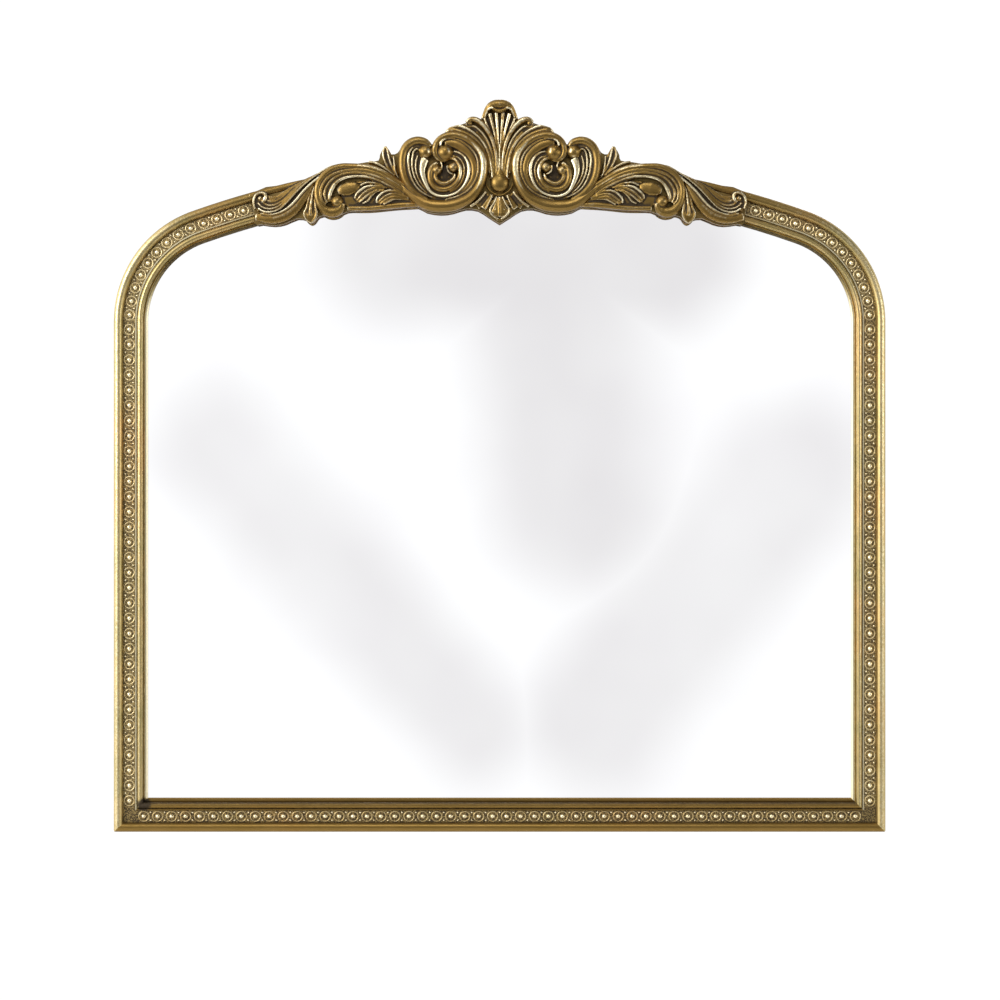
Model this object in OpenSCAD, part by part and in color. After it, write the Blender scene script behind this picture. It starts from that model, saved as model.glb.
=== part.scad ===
// Arched overmantel mirror with a beaded moulding and a carved crest.
// All the joinery is drawn lying on its back, front upwards, and then stood up.

/* [Frame] */
// Width across the two sides
frame_w = 1000; // [900:10:1100]
// Height where the straight sides end and the shoulders begin
spring_h = 661; // [620:1:685]
// Rise of the arch's outer edge from there to the centre line
arch_rise = 212; // [190:1:250]
// Outer radius of the shoulders
shoulder_r = 152; // [120:1:175]
// Radius on the two bottom corners
corner_r = 3; // [1:0.5:6]

/* [Moulding] */
// Width of the moulding
rail_w = 43; // [42:0.5:50]
// Top of the outer roll above the back
rail_d = 25; // [23:0.5:30]
// Width of the outer roll
roll_w = 11.7; // [10:0.1:13]
// Width of the channel for the beading
channel_w = 16; // [15.5:0.1:17]
// Floor of the channel above the back
channel_floor = 15; // [13.5:0.5:17]
// Top of the inner ridge above the back
ridge_top = 22.5; // [20.5:0.5:26]
// Width of the inner ridge
ridge_w = 7.4; // [6:0.1:8]
// Width of the step between the channel and the inner ridge
fillet_w = 2.6; // [2:0.1:3]
// Height of that step above the channel's floor
fillet_h = 3.5; // [2.5:0.1:3.8]
// Undercut under the roll's inner side and under both sides of the ridge
quirk = 0.3; // [0.2:0.05:0.5]
// Top of the sight lip above the back
lip_top = 13.2; // [11:0.1:13.8]
// Width of the bevels on the sight lip
lip_bevel = 1.6; // [0.8:0.1:2]
// Width of the rebate for the glass
rebate_w = 10; // [8:0.5:12]
// Depth of the rebate from the back
rebate_d = 9; // [8.5:0.5:10]

/* [Beading] */
// Distance from bead to bead along the bottom
bottom_pitch = 18.1; // [17:0.1:22]
// Wanted distance from bead to bead up the sides
side_pitch = 19.7; // [17:0.1:22]
// Wanted distance from bead to bead round the arch
arch_pitch = 18.1; // [17:0.1:22]
// Height of the lowest bead on the sides
first_bead = 40; // [38:0.5:44]
// Diameter of a bead
bead_d = 7; // [5:0.1:8]
// Outer diameter of the ring round a bead
ring_d = 15; // [13:0.1:15.2]
// Thickness of the ring's wire
ring_wire = 2; // [1.4:0.1:2.1]
// Thickness of the strip under the beads
strip_t = 1.5; // [1.5:0.1:2]
// Gap on each side of the strip in its channel
strip_gap = 0.2; // [0.1:0.05:0.3]

/* [Glass and backing] */
// Thickness of the glass
glass_t = 4; // [3:0.5:5]
// Thickness of the backing board
board_t = 3; // [2:0.5:3.5]
// Room round the glass in its rebate
glass_room = 1.5; // [1:0.1:3]
// Room round the backing board in its rebate
board_room = 1; // [0.8:0.1:2.5]

/* [Backing clips] */
// Width of a clip
clip_w = 14; // [10:1:18]
// Thickness of a clip
clip_t = 1.5; // [1:0.1:2]
// Length of the clip's plate on the frame
clip_plate = 15; // [13:0.5:16]
// Reach of the clip's foot over the backing board
clip_foot = 10; // [6:0.5:14]
// Distance of the outer clips from the middle of the bottom rail
clip_span = 300; // [200:10:350]
// Height of the lowest clip on the sides
clip_low = 150; // [120:5:170]
// Distance from a hanger's pin down to the clip under it
clip_under = 90; // [80:5:120]

/* [Crest] */
// Half the length of the crest
crest_half = 318; // [314:1:326]
// Height of the flat landing for the crest above the back
landing = 14; // [13:0.5:15]
// Thickness of the board behind the crest
crest_board_t = 8; // [6:0.5:10]
// Relief of the palmette over its board
palmette_rise = 17; // [12:0.5:20]
// Relief of the plumes
plume_rise = 10; // [7:0.5:14]
// Relief of the scrolls
scroll_rise = 14; // [10:0.5:17]
// Relief of the wings
wing_rise = 12; // [8:0.5:15]
// Relief of the tail leaves
tail_rise = 9; // [6:0.5:12]
// Relief of the tongue leaves
tongue_rise = 10; // [6:0.5:12]
// Relief of the small sprigs
sprig_rise = 7; // [5:0.5:10]
// Relief of the pendant shell
shell_rise = 9; // [6:0.5:12]
// Gap left round a carved piece where another one meets it
carving_gap = 0.3; // [0.2:0.05:0.6]

/* [Joinery] */
// Diameter of the dowels in the arch joints
dowel_d = 6; // [5:0.5:7]
// Length of a dowel
dowel_l = 40; // [30:1:50]
// Distance from the outer edge to the first dowel
dowel_edge = 8; // [6:0.5:10]
// Distance between the two dowels of a joint
dowel_step = 16; // [14:0.5:18]
// Room round a dowel in its bore
dowel_room = 0.1; // [0.05:0.05:0.2]
// Room at each end of a dowel
dowel_end = 0.5; // [0.3:0.1:1]
// Length of an arm of a corner brace
brace_l = 70; // [60:1:90]
// Width of a corner brace
brace_w = 14; // [12:0.5:16]
// Thickness of a corner brace
brace_t = 1.5; // [1:0.1:2.5]

/* [Screws] */
// Shank diameter of the screws
screw_d = 3; // [2.5:0.1:3.5]
// Head diameter of the screws
screw_head_d = 6.4; // [5.5:0.1:7]
// Head height of the screws
screw_head_h = 2; // [1.5:0.1:2.4]
// Length of the screws that hold clips, braces and straps
screw_l = 12; // [8:0.5:13]
// Length of the screws that hold the crest board
crest_screw_l = 20; // [17:0.5:21]
// Room round a screw's shank
screw_room = 0.1; // [0.05:0.05:0.2]

/* [Hanging] */
// Height of the pins of the two hanging rings
hang_h = 600; // [570:1:610]
// Distance of the hangers and pads from the outer edge
back_line = 16; // [14:0.5:18]
// Width of a strap
strap_w = 14; // [12:0.5:16]
// Length of a strap
strap_l = 42; // [40:1:50]
// Thickness of a strap
strap_t = 1; // [0.8:0.1:1.2]
// Wire diameter of a hanging ring
wire_d = 3; // [2.5:0.1:3.2]
// Width inside a hanging ring
ring_eye_w = 18; // [17.5:0.5:22]
// Height of a hanging ring's straight legs below its bends
ring_leg = 3; // [2:0.5:6]
// Room between a ring's bar and its strap
pin_room = 0.08; // [0.05:0.01:0.1]
// Diameter of the wall pads
pad_d = 14; // [10:0.5:18]
// Thickness of the wall pads
pad_t = 6.5; // [6.2:0.1:9]

/* [Hidden] */
$fn = 48;
big_arc_fn = 256;
eps = 0.01;

gilt = "#a8813c";
dark_gilt = "#8f6d30";
wood = "#8a6a45";
steel = "#b9bcc0";
silver = "#dfe4e8";
hardboard = "#6b4a30";
felt = "#3a3a3a";

// The arch: two shoulder arcs that run into one flat arc over the middle
half_w = frame_w / 2;
shoulder_x = half_w - shoulder_r;
arch_h = spring_h + arch_rise;
arch_r = (shoulder_x * shoulder_x + arch_rise * arch_rise - shoulder_r * shoulder_r)
    / (2 * (arch_rise - shoulder_r));
arch_y = arch_h - arch_r;
arch_angle = atan2(shoulder_x, spring_h - arch_y);
shoulder_sweep = 90 - arch_angle;
rebate_line = rail_w - rebate_w;

// Levels above the back of the frame
glass_back = rebate_d - glass_t;
board_back = glass_back - board_t;
board_front = landing + crest_board_t;
front = board_front + palmette_rise;
// The box of the whole mirror is centred from front to back
stand_y = (front - pad_t) / 2;

module stand() translate([0, stand_y, 0]) rotate([90, 0, 0]) children();

// side is 1 on the right as seen from the front and -1 on the left
module flip(side) mirror([side < 0 ? 1 : 0, 0, 0]) children();

// Height of the arch's outer edge at a distance across from the centre line
function arch_edge(across) = arch_y + sqrt(arch_r * arch_r - across * across);

// Section of the moulding: across from the outer edge, and up from the back
roll_mid = rail_d - roll_w / 2;
channel_end = roll_w + channel_w;
ridge_start = channel_end + fillet_w;
ridge_mid = ridge_top - ridge_w / 2;
lip_start = ridge_start + ridge_w;
module moulding_body()
    polygon([
        [0, 0], [0, roll_mid], [roll_w - quirk, roll_mid],
        [roll_w - quirk, channel_floor], [channel_end, channel_floor],
        [channel_end, channel_floor + fillet_h], [channel_end + fillet_w * 0.6, channel_floor + fillet_h],
        [ridge_start + quirk, channel_floor + fillet_h / 2], [ridge_start + quirk, ridge_mid],
        [lip_start - quirk, ridge_mid], [lip_start - quirk, lip_top - lip_bevel / 2],
        [lip_start + lip_bevel, lip_top], [rail_w - lip_bevel, lip_top],
        [rail_w, lip_top - lip_bevel], [rail_w, rebate_d],
        [rebate_line, rebate_d], [rebate_line, 0]
    ]);
module outer_roll() translate([roll_w / 2, roll_mid]) circle(d = roll_w);
module inner_ridge() translate([ridge_start + ridge_w / 2, ridge_mid]) circle(d = ridge_w);
// Section of the strip that carries the beads
strip_half = channel_w / 2 - strip_gap;
channel_mid = roll_w + channel_w / 2;
strip_top = channel_floor + strip_t;
module strip()
    translate([channel_mid - strip_half, channel_floor]) square([2 * strip_half, strip_t]);

// Straight lengths of sections, along the bottom and up the left side
module along_bottom()
    for (i = [0:$children - 1])
        translate([-half_w, 0, 0]) rotate([90, 0, 90]) linear_extrude(frame_w) children(i);
module up_side()
    for (i = [0:$children - 1])
        translate([-half_w, spring_h, 0]) rotate([90, 0, 0]) linear_extrude(spring_h) children(i);
// Curved lengths of sections, round the left shoulder and over the middle
module round_shoulder()
    for (i = [0:$children - 1])
        translate([-shoulder_x, spring_h, 0])
            rotate_extrude(angle = shoulder_sweep, start = 180 - shoulder_sweep, $fn = big_arc_fn)
                translate([shoulder_r, 0]) mirror([1, 0]) children(i);
module over_middle(from, to)
    for (i = [0:$children - 1])
        translate([0, arch_y, 0])
            rotate_extrude(angle = to - from, start = from, $fn = big_arc_fn)
                translate([arch_r, 0]) mirror([1, 0]) children(i);

// Prisms that mitre the bottom corners, tall enough to take any section
module bottom_wedge(top)
    linear_extrude(top)
        polygon([[-half_w, 0], [half_w, 0], [half_w - rail_w, rail_w], [rail_w - half_w, rail_w]]);
module side_wedge(top)
    linear_extrude(top)
        polygon([[-half_w, 0], [rail_w - half_w, rail_w], [rail_w - half_w, spring_h],
            [-half_w, spring_h]]);
module corner_trim()
    translate([-half_w, 0, -eps])
        difference() {
            translate([-eps, -eps, 0]) cube([corner_r + eps, corner_r + eps, front]);
            translate([corner_r, corner_r, -eps]) cylinder(r = corner_r, h = front + 1);
        }

// Fixings on the back. A place is a point and a turn; its own +Y points to the glass
module place(at) translate([at[0], at[1], 0]) rotate(at[2]) children();
clip_angles = [for (share = [-0.75, 0, 0.75]) share * arch_angle];
function on_arch(angle, inset) =
    [(arch_r - inset) * sin(angle), arch_y + (arch_r - inset) * cos(angle), 180 - angle];
function on_shoulder(angle, inset) =
    [-shoulder_x - (shoulder_r - inset) * cos(angle),
        spring_h + (shoulder_r - inset) * sin(angle), 270 - angle];
function mirrored(places) = [for (p = places) [-p[0], p[1], -p[2]]];
bottom_clips = [for (x = [-clip_span, 0, clip_span]) [x, rebate_line, 0]];
clip_rows = [clip_low, (clip_low + hang_h - clip_under) / 2, hang_h - clip_under];
side_clips = [for (row = clip_rows) [rebate_line - half_w, row, -90]];
shoulder_clips = [on_shoulder(shoulder_sweep / 2, rebate_line)];
arch_clips = [for (a = clip_angles) on_arch(a, rebate_line)];
clip_places = concat(bottom_clips, side_clips, mirrored(side_clips), shoulder_clips,
    mirrored(shoulder_clips), arch_clips);
clip_hole = -clip_plate / 2;
// Gap between a clip's riser and the side of the rebate
clip_gap = 0.3;

// Holes of the corner brace, as points on the back of the left corner
brace_at = [back_line - half_w, back_line];
brace_steps = [brace_l * 0.35, brace_l * 0.8];
brace_holes = [for (d = brace_steps) each [[d, 0], [0, d]]];
// Holes of a strap below its ring's pin, and its place
strap_holes = [strap_l * 0.55, strap_l * 0.85];
strap_x = half_w - back_line;
// Screws of the crest, as angles on the arch
crest_angles = [for (s = [-1, 1]) for (share = [0.12, 0.42, 0.66]) s * share * arch_angle];

shank_r = screw_d / 2;
pilot_r = shank_r + screw_room;
// Depth of a pilot hole past the tip of its screw
pilot_end = 0.5;

module screw(length, plate)
    translate([0, 0, -plate]) {
        cylinder(r = shank_r, h = length);
        translate([0, 0, -screw_head_h])
            rotate_extrude()
                polygon(concat([[0, 0]],
                    [for (a = [15:15:90]) [screw_head_d / 2 * sin(a), screw_head_h * (1 - cos(a))]],
                    [[0, screw_head_h]]));
    }
module pilot(length, plate)
    translate([0, 0, -eps]) cylinder(r = pilot_r, h = length - plate + pilot_end);

module clip_pilots(places)
    for (p = places) place(p) translate([0, clip_hole, 0]) pilot(screw_l, clip_t);

// Dowels: two at each butt joint of the arch, on the left, level with the rebate
dowel_level = rebate_d - 1.5;
module spring_dowels(r, length)
    for (i = [0, 1])
        translate([dowel_edge + i * dowel_step - half_w, spring_h - length / 2, dowel_level])
            rotate([-90, 0, 0]) cylinder(r = r, h = length);
module arch_dowels(r, length)
    translate([0, arch_y, 0]) rotate(arch_angle)
        for (i = [0, 1])
            translate([-length / 2, arch_r - dowel_edge - i * dowel_step, dowel_level])
                rotate([0, 90, 0]) cylinder(r = r, h = length);
dowel_r = dowel_d / 2;
dowel_bore_r = dowel_r + dowel_room;
dowel_bore_l = dowel_l + 2 * dowel_end;

module bottom_rail() color(gilt) stand()
    difference() {
        intersection() {
            along_bottom() {
                moulding_body();
                outer_roll();
                inner_ridge();
            }
            bottom_wedge(front);
        }
        for (s = [-1, 1]) flip(s) {
            corner_trim();
            for (d = brace_steps)
                translate([brace_at[0] + d, brace_at[1], 0]) pilot(screw_l, brace_t);
        }
        clip_pilots(bottom_clips);
    }

module stile(side)
    flip(-side)
        difference() {
            intersection() {
                up_side() {
                    moulding_body();
                    outer_roll();
                    inner_ridge();
                }
                side_wedge(front);
            }
            corner_trim();
            for (d = brace_steps)
                translate([brace_at[0], brace_at[1] + d, 0]) pilot(screw_l, brace_t);
            clip_pilots(side_clips);
            for (d = strap_holes) translate([-strap_x, hang_h - d, 0]) pilot(screw_l, strap_t);
            spring_dowels(dowel_bore_r, dowel_bore_l);
        }
module left_stile() color(gilt) stand() stile(-1);
module right_stile() color(gilt) stand() stile(1);

module shoulder(side)
    flip(-side)
        difference() {
            round_shoulder() {
                moulding_body();
                outer_roll();
                inner_ridge();
            }
            clip_pilots(shoulder_clips);
            spring_dowels(dowel_bore_r, dowel_bore_l);
            arch_dowels(dowel_bore_r, dowel_bore_l);
        }
module left_shoulder() color(gilt) stand() shoulder(-1);
module right_shoulder() color(gilt) stand() shoulder(1);

module arch_rail() color(gilt) stand()
    difference() {
        over_middle(90 - arch_angle, 90 + arch_angle) {
            moulding_body();
            outer_roll();
            inner_ridge();
        }
        translate([-crest_half, arch_edge(crest_half) - 2 * rail_w, landing])
            cube([2 * crest_half, 4 * rail_w + arch_h, front]);
        clip_pilots(arch_clips);
        for (a = crest_angles)
            place(on_arch(a, back_line)) translate([0, 0, -eps]) cylinder(r = pilot_r, h = front);
        for (s = [-1, 1]) flip(s) arch_dowels(dowel_bore_r, dowel_bore_l);
    }

// Beading: a strip in the channel with a ring and a bead on it at each step.
// Balls and rings are set a little into the strip, and the balls are cut off flat inside it
sink = 0.4;
module raised(d)
    intersection() {
        translate([0, 0, strip_top - sink]) sphere(d = d, $fn = 32);
        translate([-d, -d, channel_floor + strip_t / 3]) cube(2 * d);
    }
module bead() {
    raised(bead_d);
    translate([0, 0, strip_top - sink])
        rotate_extrude($fn = 32) translate([(ring_d - ring_wire) / 2, 0]) circle(d = ring_wire, $fn = 16);
}
// Two small drops between neighbouring rings
drop_d = 2.8;
drop_at = ring_d / 2 - drop_d / 2 - 1;
module drops()
    for (s = [-1, 1]) translate([0, s * drop_at, 0]) raised(drop_d);

bottom_beads = 2 * floor((half_w - channel_mid - ring_d / 2) / bottom_pitch);
module beading_bottom() color(dark_gilt) stand() {
    along = bottom_pitch * (bottom_beads - 1) / 2;
    intersection() {
        along_bottom() strip();
        bottom_wedge(front);
    }
    for (i = [0:bottom_beads - 1])
        translate([i * bottom_pitch - along, channel_mid, 0]) bead();
    for (i = [1:bottom_beads - 1])
        translate([(i - 0.5) * bottom_pitch - along, channel_mid, 0]) drops();
}

side_beads = round((spring_h - first_bead) / side_pitch);
side_step = (spring_h - first_bead) / (side_beads - 0.5);
module side_beading(side)
    flip(-side) {
        intersection() {
            up_side() strip();
            side_wedge(front);
        }
        for (i = [0:side_beads - 1])
            translate([channel_mid - half_w, first_bead + i * side_step, 0]) bead();
        for (i = [0:side_beads - 2])
            translate([channel_mid - half_w, first_bead + (i + 0.5) * side_step, 0]) rotate(90) drops();
    }
module beading_left() color(dark_gilt) stand() side_beading(-1);
module beading_right() color(dark_gilt) stand() side_beading(1);

// Distance from the crest's landing to the end of the beading
strip_end = 1;
shoulder_arc = (shoulder_r - channel_mid) * shoulder_sweep * PI / 180;
shoulder_beads = round(shoulder_arc / arch_pitch);
shoulder_step = shoulder_sweep / shoulder_beads;
crest_end_angle = asin((crest_half + strip_end) / (arch_r - channel_mid - strip_half));
arch_step = arch_pitch / (arch_r - channel_mid) * 180 / PI;
ring_angle = asin(ring_d / 2 / (arch_r - channel_mid));
arch_beads = floor((arch_angle - crest_end_angle - ring_angle) / arch_step + 0.5);
module shoulder_beading(side)
    flip(-side) {
        round_shoulder() strip();
        for (i = [0:shoulder_beads - 1])
            place(on_shoulder((i + 0.5) * shoulder_step, channel_mid)) bead();
        for (i = [1:shoulder_beads - 1])
            place(on_shoulder(i * shoulder_step, channel_mid)) drops();
    }
module beading_shoulder_left() color(dark_gilt) stand() shoulder_beading(-1);
module beading_shoulder_right() color(dark_gilt) stand() shoulder_beading(1);
module arch_beading(side)
    flip(-side) {
        over_middle(90 + crest_end_angle, 90 + arch_angle) strip();
        for (i = [0:arch_beads - 1])
            place(on_arch(-arch_angle + (i + 0.5) * arch_step, channel_mid)) bead();
        for (i = [1:arch_beads - 1])
            place(on_arch(-arch_angle + i * arch_step, channel_mid)) drops();
    }
module beading_arch_left() color(dark_gilt) stand() arch_beading(-1);
module beading_arch_right() color(dark_gilt) stand() arch_beading(1);

// A flat sheet of the frame's outline, drawn in by a distance from the outer edge
module arch_sheet(inset, thickness) {
    reach = arch_r - inset;
    translate([inset - half_w, inset, 0]) cube([frame_w - 2 * inset, spring_h - inset, thickness]);
    for (s = [-1, 1])
        translate([s * shoulder_x, spring_h, 0])
            cylinder(r = shoulder_r - inset, h = thickness, $fn = big_arc_fn);
    intersection() {
        translate([0, arch_y, 0]) cylinder(r = reach, h = thickness, $fn = 4 * big_arc_fn);
        linear_extrude(thickness)
            polygon([[0, arch_y], [2 * reach * sin(arch_angle), arch_y + 2 * reach * cos(arch_angle)],
                [-2 * reach * sin(arch_angle), arch_y + 2 * reach * cos(arch_angle)]]);
    }
}

module mirror_glass() color(silver) stand()
    difference() {
        translate([0, 0, glass_back]) arch_sheet(rebate_line + glass_room, glass_t);
        below_the_rail(rebate_line + glass_room);
    }
module backing_board() color(hardboard) stand()
    difference() {
        translate([0, 0, board_back]) arch_sheet(rebate_line + board_room, board_t);
        below_the_rail(rebate_line + board_room);
    }
// The middle arc's sector starts below the mirror when the arch is flat, so its tip is cut away
module below_the_rail(inset)
    translate([-frame_w, inset - 4 * arch_r, -front]) cube([2 * frame_w, 4 * arch_r, 3 * front]);

module backing_clips() color(steel) stand()
    for (p = clip_places) place(p)
        difference() {
            union() {
                translate([-clip_w / 2, -clip_plate, -clip_t])
                    cube([clip_w, clip_plate + clip_gap + clip_t, clip_t]);
                translate([-clip_w / 2, clip_gap, -clip_t]) cube([clip_w, clip_t, clip_t + board_back]);
                translate([-clip_w / 2, clip_gap, board_back - clip_t])
                    cube([clip_w, clip_foot, clip_t]);
            }
            translate([0, clip_hole, -front]) cylinder(r = pilot_r, h = 2 * front);
        }
module clip_screws() color(steel) stand()
    for (p = clip_places) place(p) translate([0, clip_hole, 0]) screw(screw_l, clip_t);

module joint_dowels() color(wood) stand()
    for (s = [-1, 1]) flip(s) {
        spring_dowels(dowel_r, dowel_l);
        arch_dowels(dowel_r, dowel_l);
    }

module corner_braces() color(steel) stand()
    for (s = [-1, 1]) flip(s) translate(concat(brace_at, -brace_t))
        difference() {
            union() {
                translate([-brace_w / 2, -brace_w / 2, 0]) cube([brace_l, brace_w, brace_t]);
                translate([-brace_w / 2, -brace_w / 2, 0]) cube([brace_w, brace_l, brace_t]);
            }
            for (h = brace_holes) translate(concat(h, -front)) cylinder(r = pilot_r, h = 2 * front);
        }
module brace_screws() color(steel) stand()
    for (s = [-1, 1]) flip(s)
        for (h = brace_holes) translate(concat(brace_at + h, 0)) screw(screw_l, brace_t);

// Hangers: a strap with a rolled knuckle, and a ring whose straight bar turns in it
wire_r = wire_d / 2;
knuckle_in = wire_r + pin_room;
knuckle_out = knuckle_in + strap_t;
// Height of the knuckle off the back of the frame, and radius of the ring's bends
knuckle_lift = 0.6;
pin_level = -(knuckle_out + knuckle_lift);
bend_r = 3;
ring_half = (ring_eye_w + wire_d) / 2;
module hanger_strap(side) color(steel) stand()
    translate([side * strap_x, hang_h, 0])
        difference() {
            union() {
                translate([-strap_w / 2, -strap_l, -strap_t]) cube([strap_w, strap_l, strap_t]);
                translate([-strap_w / 2, -knuckle_out, pin_level])
                    cube([strap_w, strap_t, -pin_level - strap_t / 2]);
                translate([-strap_w / 2, 0, pin_level])
                    rotate([0, 90, 0]) cylinder(r = knuckle_out, h = strap_w);
            }
            translate([-strap_w, 0, pin_level])
                rotate([0, 90, 0]) cylinder(r = knuckle_in, h = 2 * strap_w);
            for (d = strap_holes) translate([0, -d, -front]) cylinder(r = pilot_r, h = 2 * front);
        }
module hanger_strap_left() hanger_strap(-1);
module hanger_strap_right() hanger_strap(1);

module hanger_ring(side) color(steel) stand()
    translate([side * strap_x, hang_h, pin_level]) {
        translate([bend_r - ring_half, 0, 0])
            rotate([0, 90, 0]) cylinder(r = wire_r, h = 2 * (ring_half - bend_r));
        for (s = [-1, 1]) flip(s) {
            translate([bend_r - ring_half, -bend_r, 0])
                rotate_extrude(angle = 90, start = 90) translate([bend_r, 0]) circle(r = wire_r);
            translate([-ring_half, -bend_r - ring_leg, 0])
                rotate([-90, 0, 0]) cylinder(r = wire_r, h = ring_leg);
        }
        translate([0, -bend_r - ring_leg, 0])
            rotate_extrude(angle = 180, start = 180) translate([ring_half, 0]) circle(r = wire_r);
    }
module hanger_ring_left() hanger_ring(-1);
module hanger_ring_right() hanger_ring(1);

module hanger_screws() color(steel) stand()
    for (s = [-1, 1]) for (d = strap_holes)
        translate([s * strap_x, hang_h - d, 0]) screw(screw_l, strap_t);

// Height of the lower pads, and angle of the upper ones on the arch
pad_low = 1.7 * brace_l;
pad_angle = 0.9 * arch_angle;
module wall_pads() color(felt) stand()
    for (s = [-1, 1]) flip(s) {
        translate([-strap_x, pad_low, -pad_t]) cylinder(d = pad_d, h = pad_t);
        place(on_arch(pad_angle, back_line))
            translate([0, 0, -pad_t]) cylinder(d = pad_d, h = pad_t);
    }

// The crest is drawn on the arch's own edge, for the right half.
// Each point of a line: across from the centre, above the arch's edge, width, rise.
scroll_rim = [[76, 26, 8, 8], [65, 29, 13, 12], [51, 25, 18, 14], [38, 16, 19, 14],
    [30, 2, 19, 14], [27, -14, 18, 14], [30, -29, 18, 14], [39, -44, 18, 14],
    [54, -56, 18, 14], [74, -62, 18, 13], [95, -56, 17, 12], [113, -43, 14, 10], [127, -30, 9, 8]];
scroll_lobe = [[105, 20, 8, 9], [114, 22, 12, 11], [122, 13, 13, 12], [122, -2, 12, 11],
    [118, -20, 12, 10], [106, -36, 10, 9], [90, -48, 7, 8]];
scroll_twin = [[111, 8, 6, 6], [110, -6, 10, 8], [104, -24, 12, 8], [92, -38, 12, 8],
    [76, -46, 12, 8], [60, -42, 12, 8], [48, -29, 12, 8], [44, -14, 10, 7], [50, -3, 9, 6],
    [60, 1, 6, 5]];
scroll_core = [[92, -7, 6, 8], [94, -16, 8, 9], [90, -27, 9, 9], [80, -35, 9, 9],
    [68, -35, 9, 9], [59, -28, 9, 9], [56, -18, 8, 8]];
plume_inner = [[42, 48, 6, 7], [32, 48, 10, 10], [22, 41, 12, 10], [15, 28, 10, 9],
    [10, 12, 8, 8], [8, -6, 6, 7], [7, -23, 5, 5]];
plume_outer = [[69, 36, 5, 5], [58, 40, 8, 8], [46, 37, 9, 9], [34, 30, 9, 9],
    [26, 17, 9, 8], [19, 0, 8, 7], [15, -18, 6, 6], [12, -33, 5, 5]];
wing_band = [[131, -29, 14, 7], [150, -18, 18, 9], [172, -6, 19, 10], [190, 0, 19, 11],
    [206, 0, 21, 11], [218, -6, 22, 11], [224, -15, 21, 11], [226, -26, 16, 10], [224, -35, 10, 8]];
wing_curl = [[232, -28, 9, 8], [227, -41, 14, 11], [218, -50, 17, 12], [207, -51, 17, 12],
    [200, -44, 13, 11], [200, -36, 8, 9]];
wing_leaf = [[136, -34, 6, 5], [157, -27, 12, 7], [173, -26, 16, 8], [183, -32, 15, 7], [186, -41, 8, 5]];
root_leaf = [[119, -53, 6, 5], [136, -48, 10, 7], [152, -46, 14, 8], [162, -50, 11, 5]];
tail_band = [[219, 4, 8, 6], [238, -6, 13, 7], [256, -19, 17, 8], [271, -28, 18, 9],
    [287, -31, 18, 9], [crest_half - 17, -27, 14, 8], [crest_half - 9, -18, 9, 7],
    [crest_half - 9, -9, 6, 5]];
tail_belly = [[250, -41, 6, 5], [267, -46, 12, 7], [286, -47, 13, 8],
    [crest_half - 15, -41, 11, 7], [crest_half - 6, -30, 7, 5]];
tongue_line = [[240, -18, 4, 5], [241, -30, 14, 9], [242, -42, 22, 10], [242, -52, 17, 8],
    [242, -59, 5, 4]];
sprig_tall = [[126, -22, 5, 4], [134, -8, 10, 6], [142, 8, 12, 7], [148, 21, 5, 4]];
sprig_low = [[131, -21, 5, 4], [144, -8, 8, 5], [157, 2, 9, 5], [169, 7, 5, 3]];
fan_line = [[0, -26, 13, 8], [0, -2, 13, 8], [0, 18, 21, 8], [0, 36, 34, 7], [0, 58, 44, 6]];
hood_line = [[24, 50, 8, 8], [20, 62, 13, 14], [10, 67, 15, 17], [0, 68, 16, 17],
    [-10, 67, 15, 17], [-20, 62, 13, 14], [-24, 50, 8, 8]];
shell_mid = [[0, -49, 5, 5], [0, -63, 18, 8], [0, -75, 17, 9], [0, -85, 6, 5]];
shell_bar = [[11, -50, 5, 5], [21, -70, 9, 8]];
shell_edge = [[17, -48, 4, 4], [33, -66, 7, 6]];
// The balls of the scroll: across, above the edge, diameter, rise
scroll_balls = [[74, 12, 26, 14], [99, 10, 21, 12], [83, -10, 16, 10], [66, -14, 16, 10]];
wing_balls = [[195, -24, 17, 9], [215, -33, 9, 8], [185, -20, 6, 5]];
tail_balls = [[crest_half - 15, -15, 10, 8]];
boss = [0, -32, 22, 13];

// Outline of the crest board on the right half, from the bottom point round to the top
board_edge = [[0, -85], [14, -76], [28, -67], [44, -65], [60, -69], [76, -70], [94, -66],
    [110, -57], [130, -58], [165, -56], [197, -53], [211, -57], [225, -53], [234, -53],
    [242, -59], [251, -53], [262, -49], [278, -52], [292, -51], [308, -45], [crest_half, -40],
    [crest_half, -1], [284, -1], [258, -1], [245, -3], [232, 1], [219, 6], [206, 8], [190, 7],
    [172, 7], [157, 7], [155, 14], [149, 22], [140, 13], [132, 14], [127, 21], [119, 26],
    [110, 27], [100, 24], [90, 18], [84, 24], [75, 32], [66, 38], [54, 43], [44, 46],
    [34, 51], [25, 48], [21, 60], [12, 70], [0, 73]];

// A smooth line through given points, each a list of numbers
steps = 2;
function near(list, i) = list[max(0, min(len(list) - 1, i))];
function through(a, b, c, d, t) = 0.5
    * (2 * b + (c - a) * t + (2 * a - 5 * b + 4 * c - d) * t * t + (3 * b - a - 3 * c + d) * t * t * t);
function smooth(points) = concat(
    [for (i = [0:len(points) - 2]) for (k = [0:steps - 1])
        through(near(points, i - 1), points[i], points[i + 1], near(points, i + 2), k / steps)],
    [points[len(points) - 1]]);
function lifted(p) = [p[0], arch_edge(p[0]) + p[1]];
function heading(line, i) =
    let (d = lifted(near(line, i + 1)) - lifted(near(line, i - 1)))
    d / norm(d);
function beside(line, i, across) =
    let (h = heading(line, i))
    lifted(line[i]) + [-h[1], h[0]] * across * line[i][2] / 2;

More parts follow.
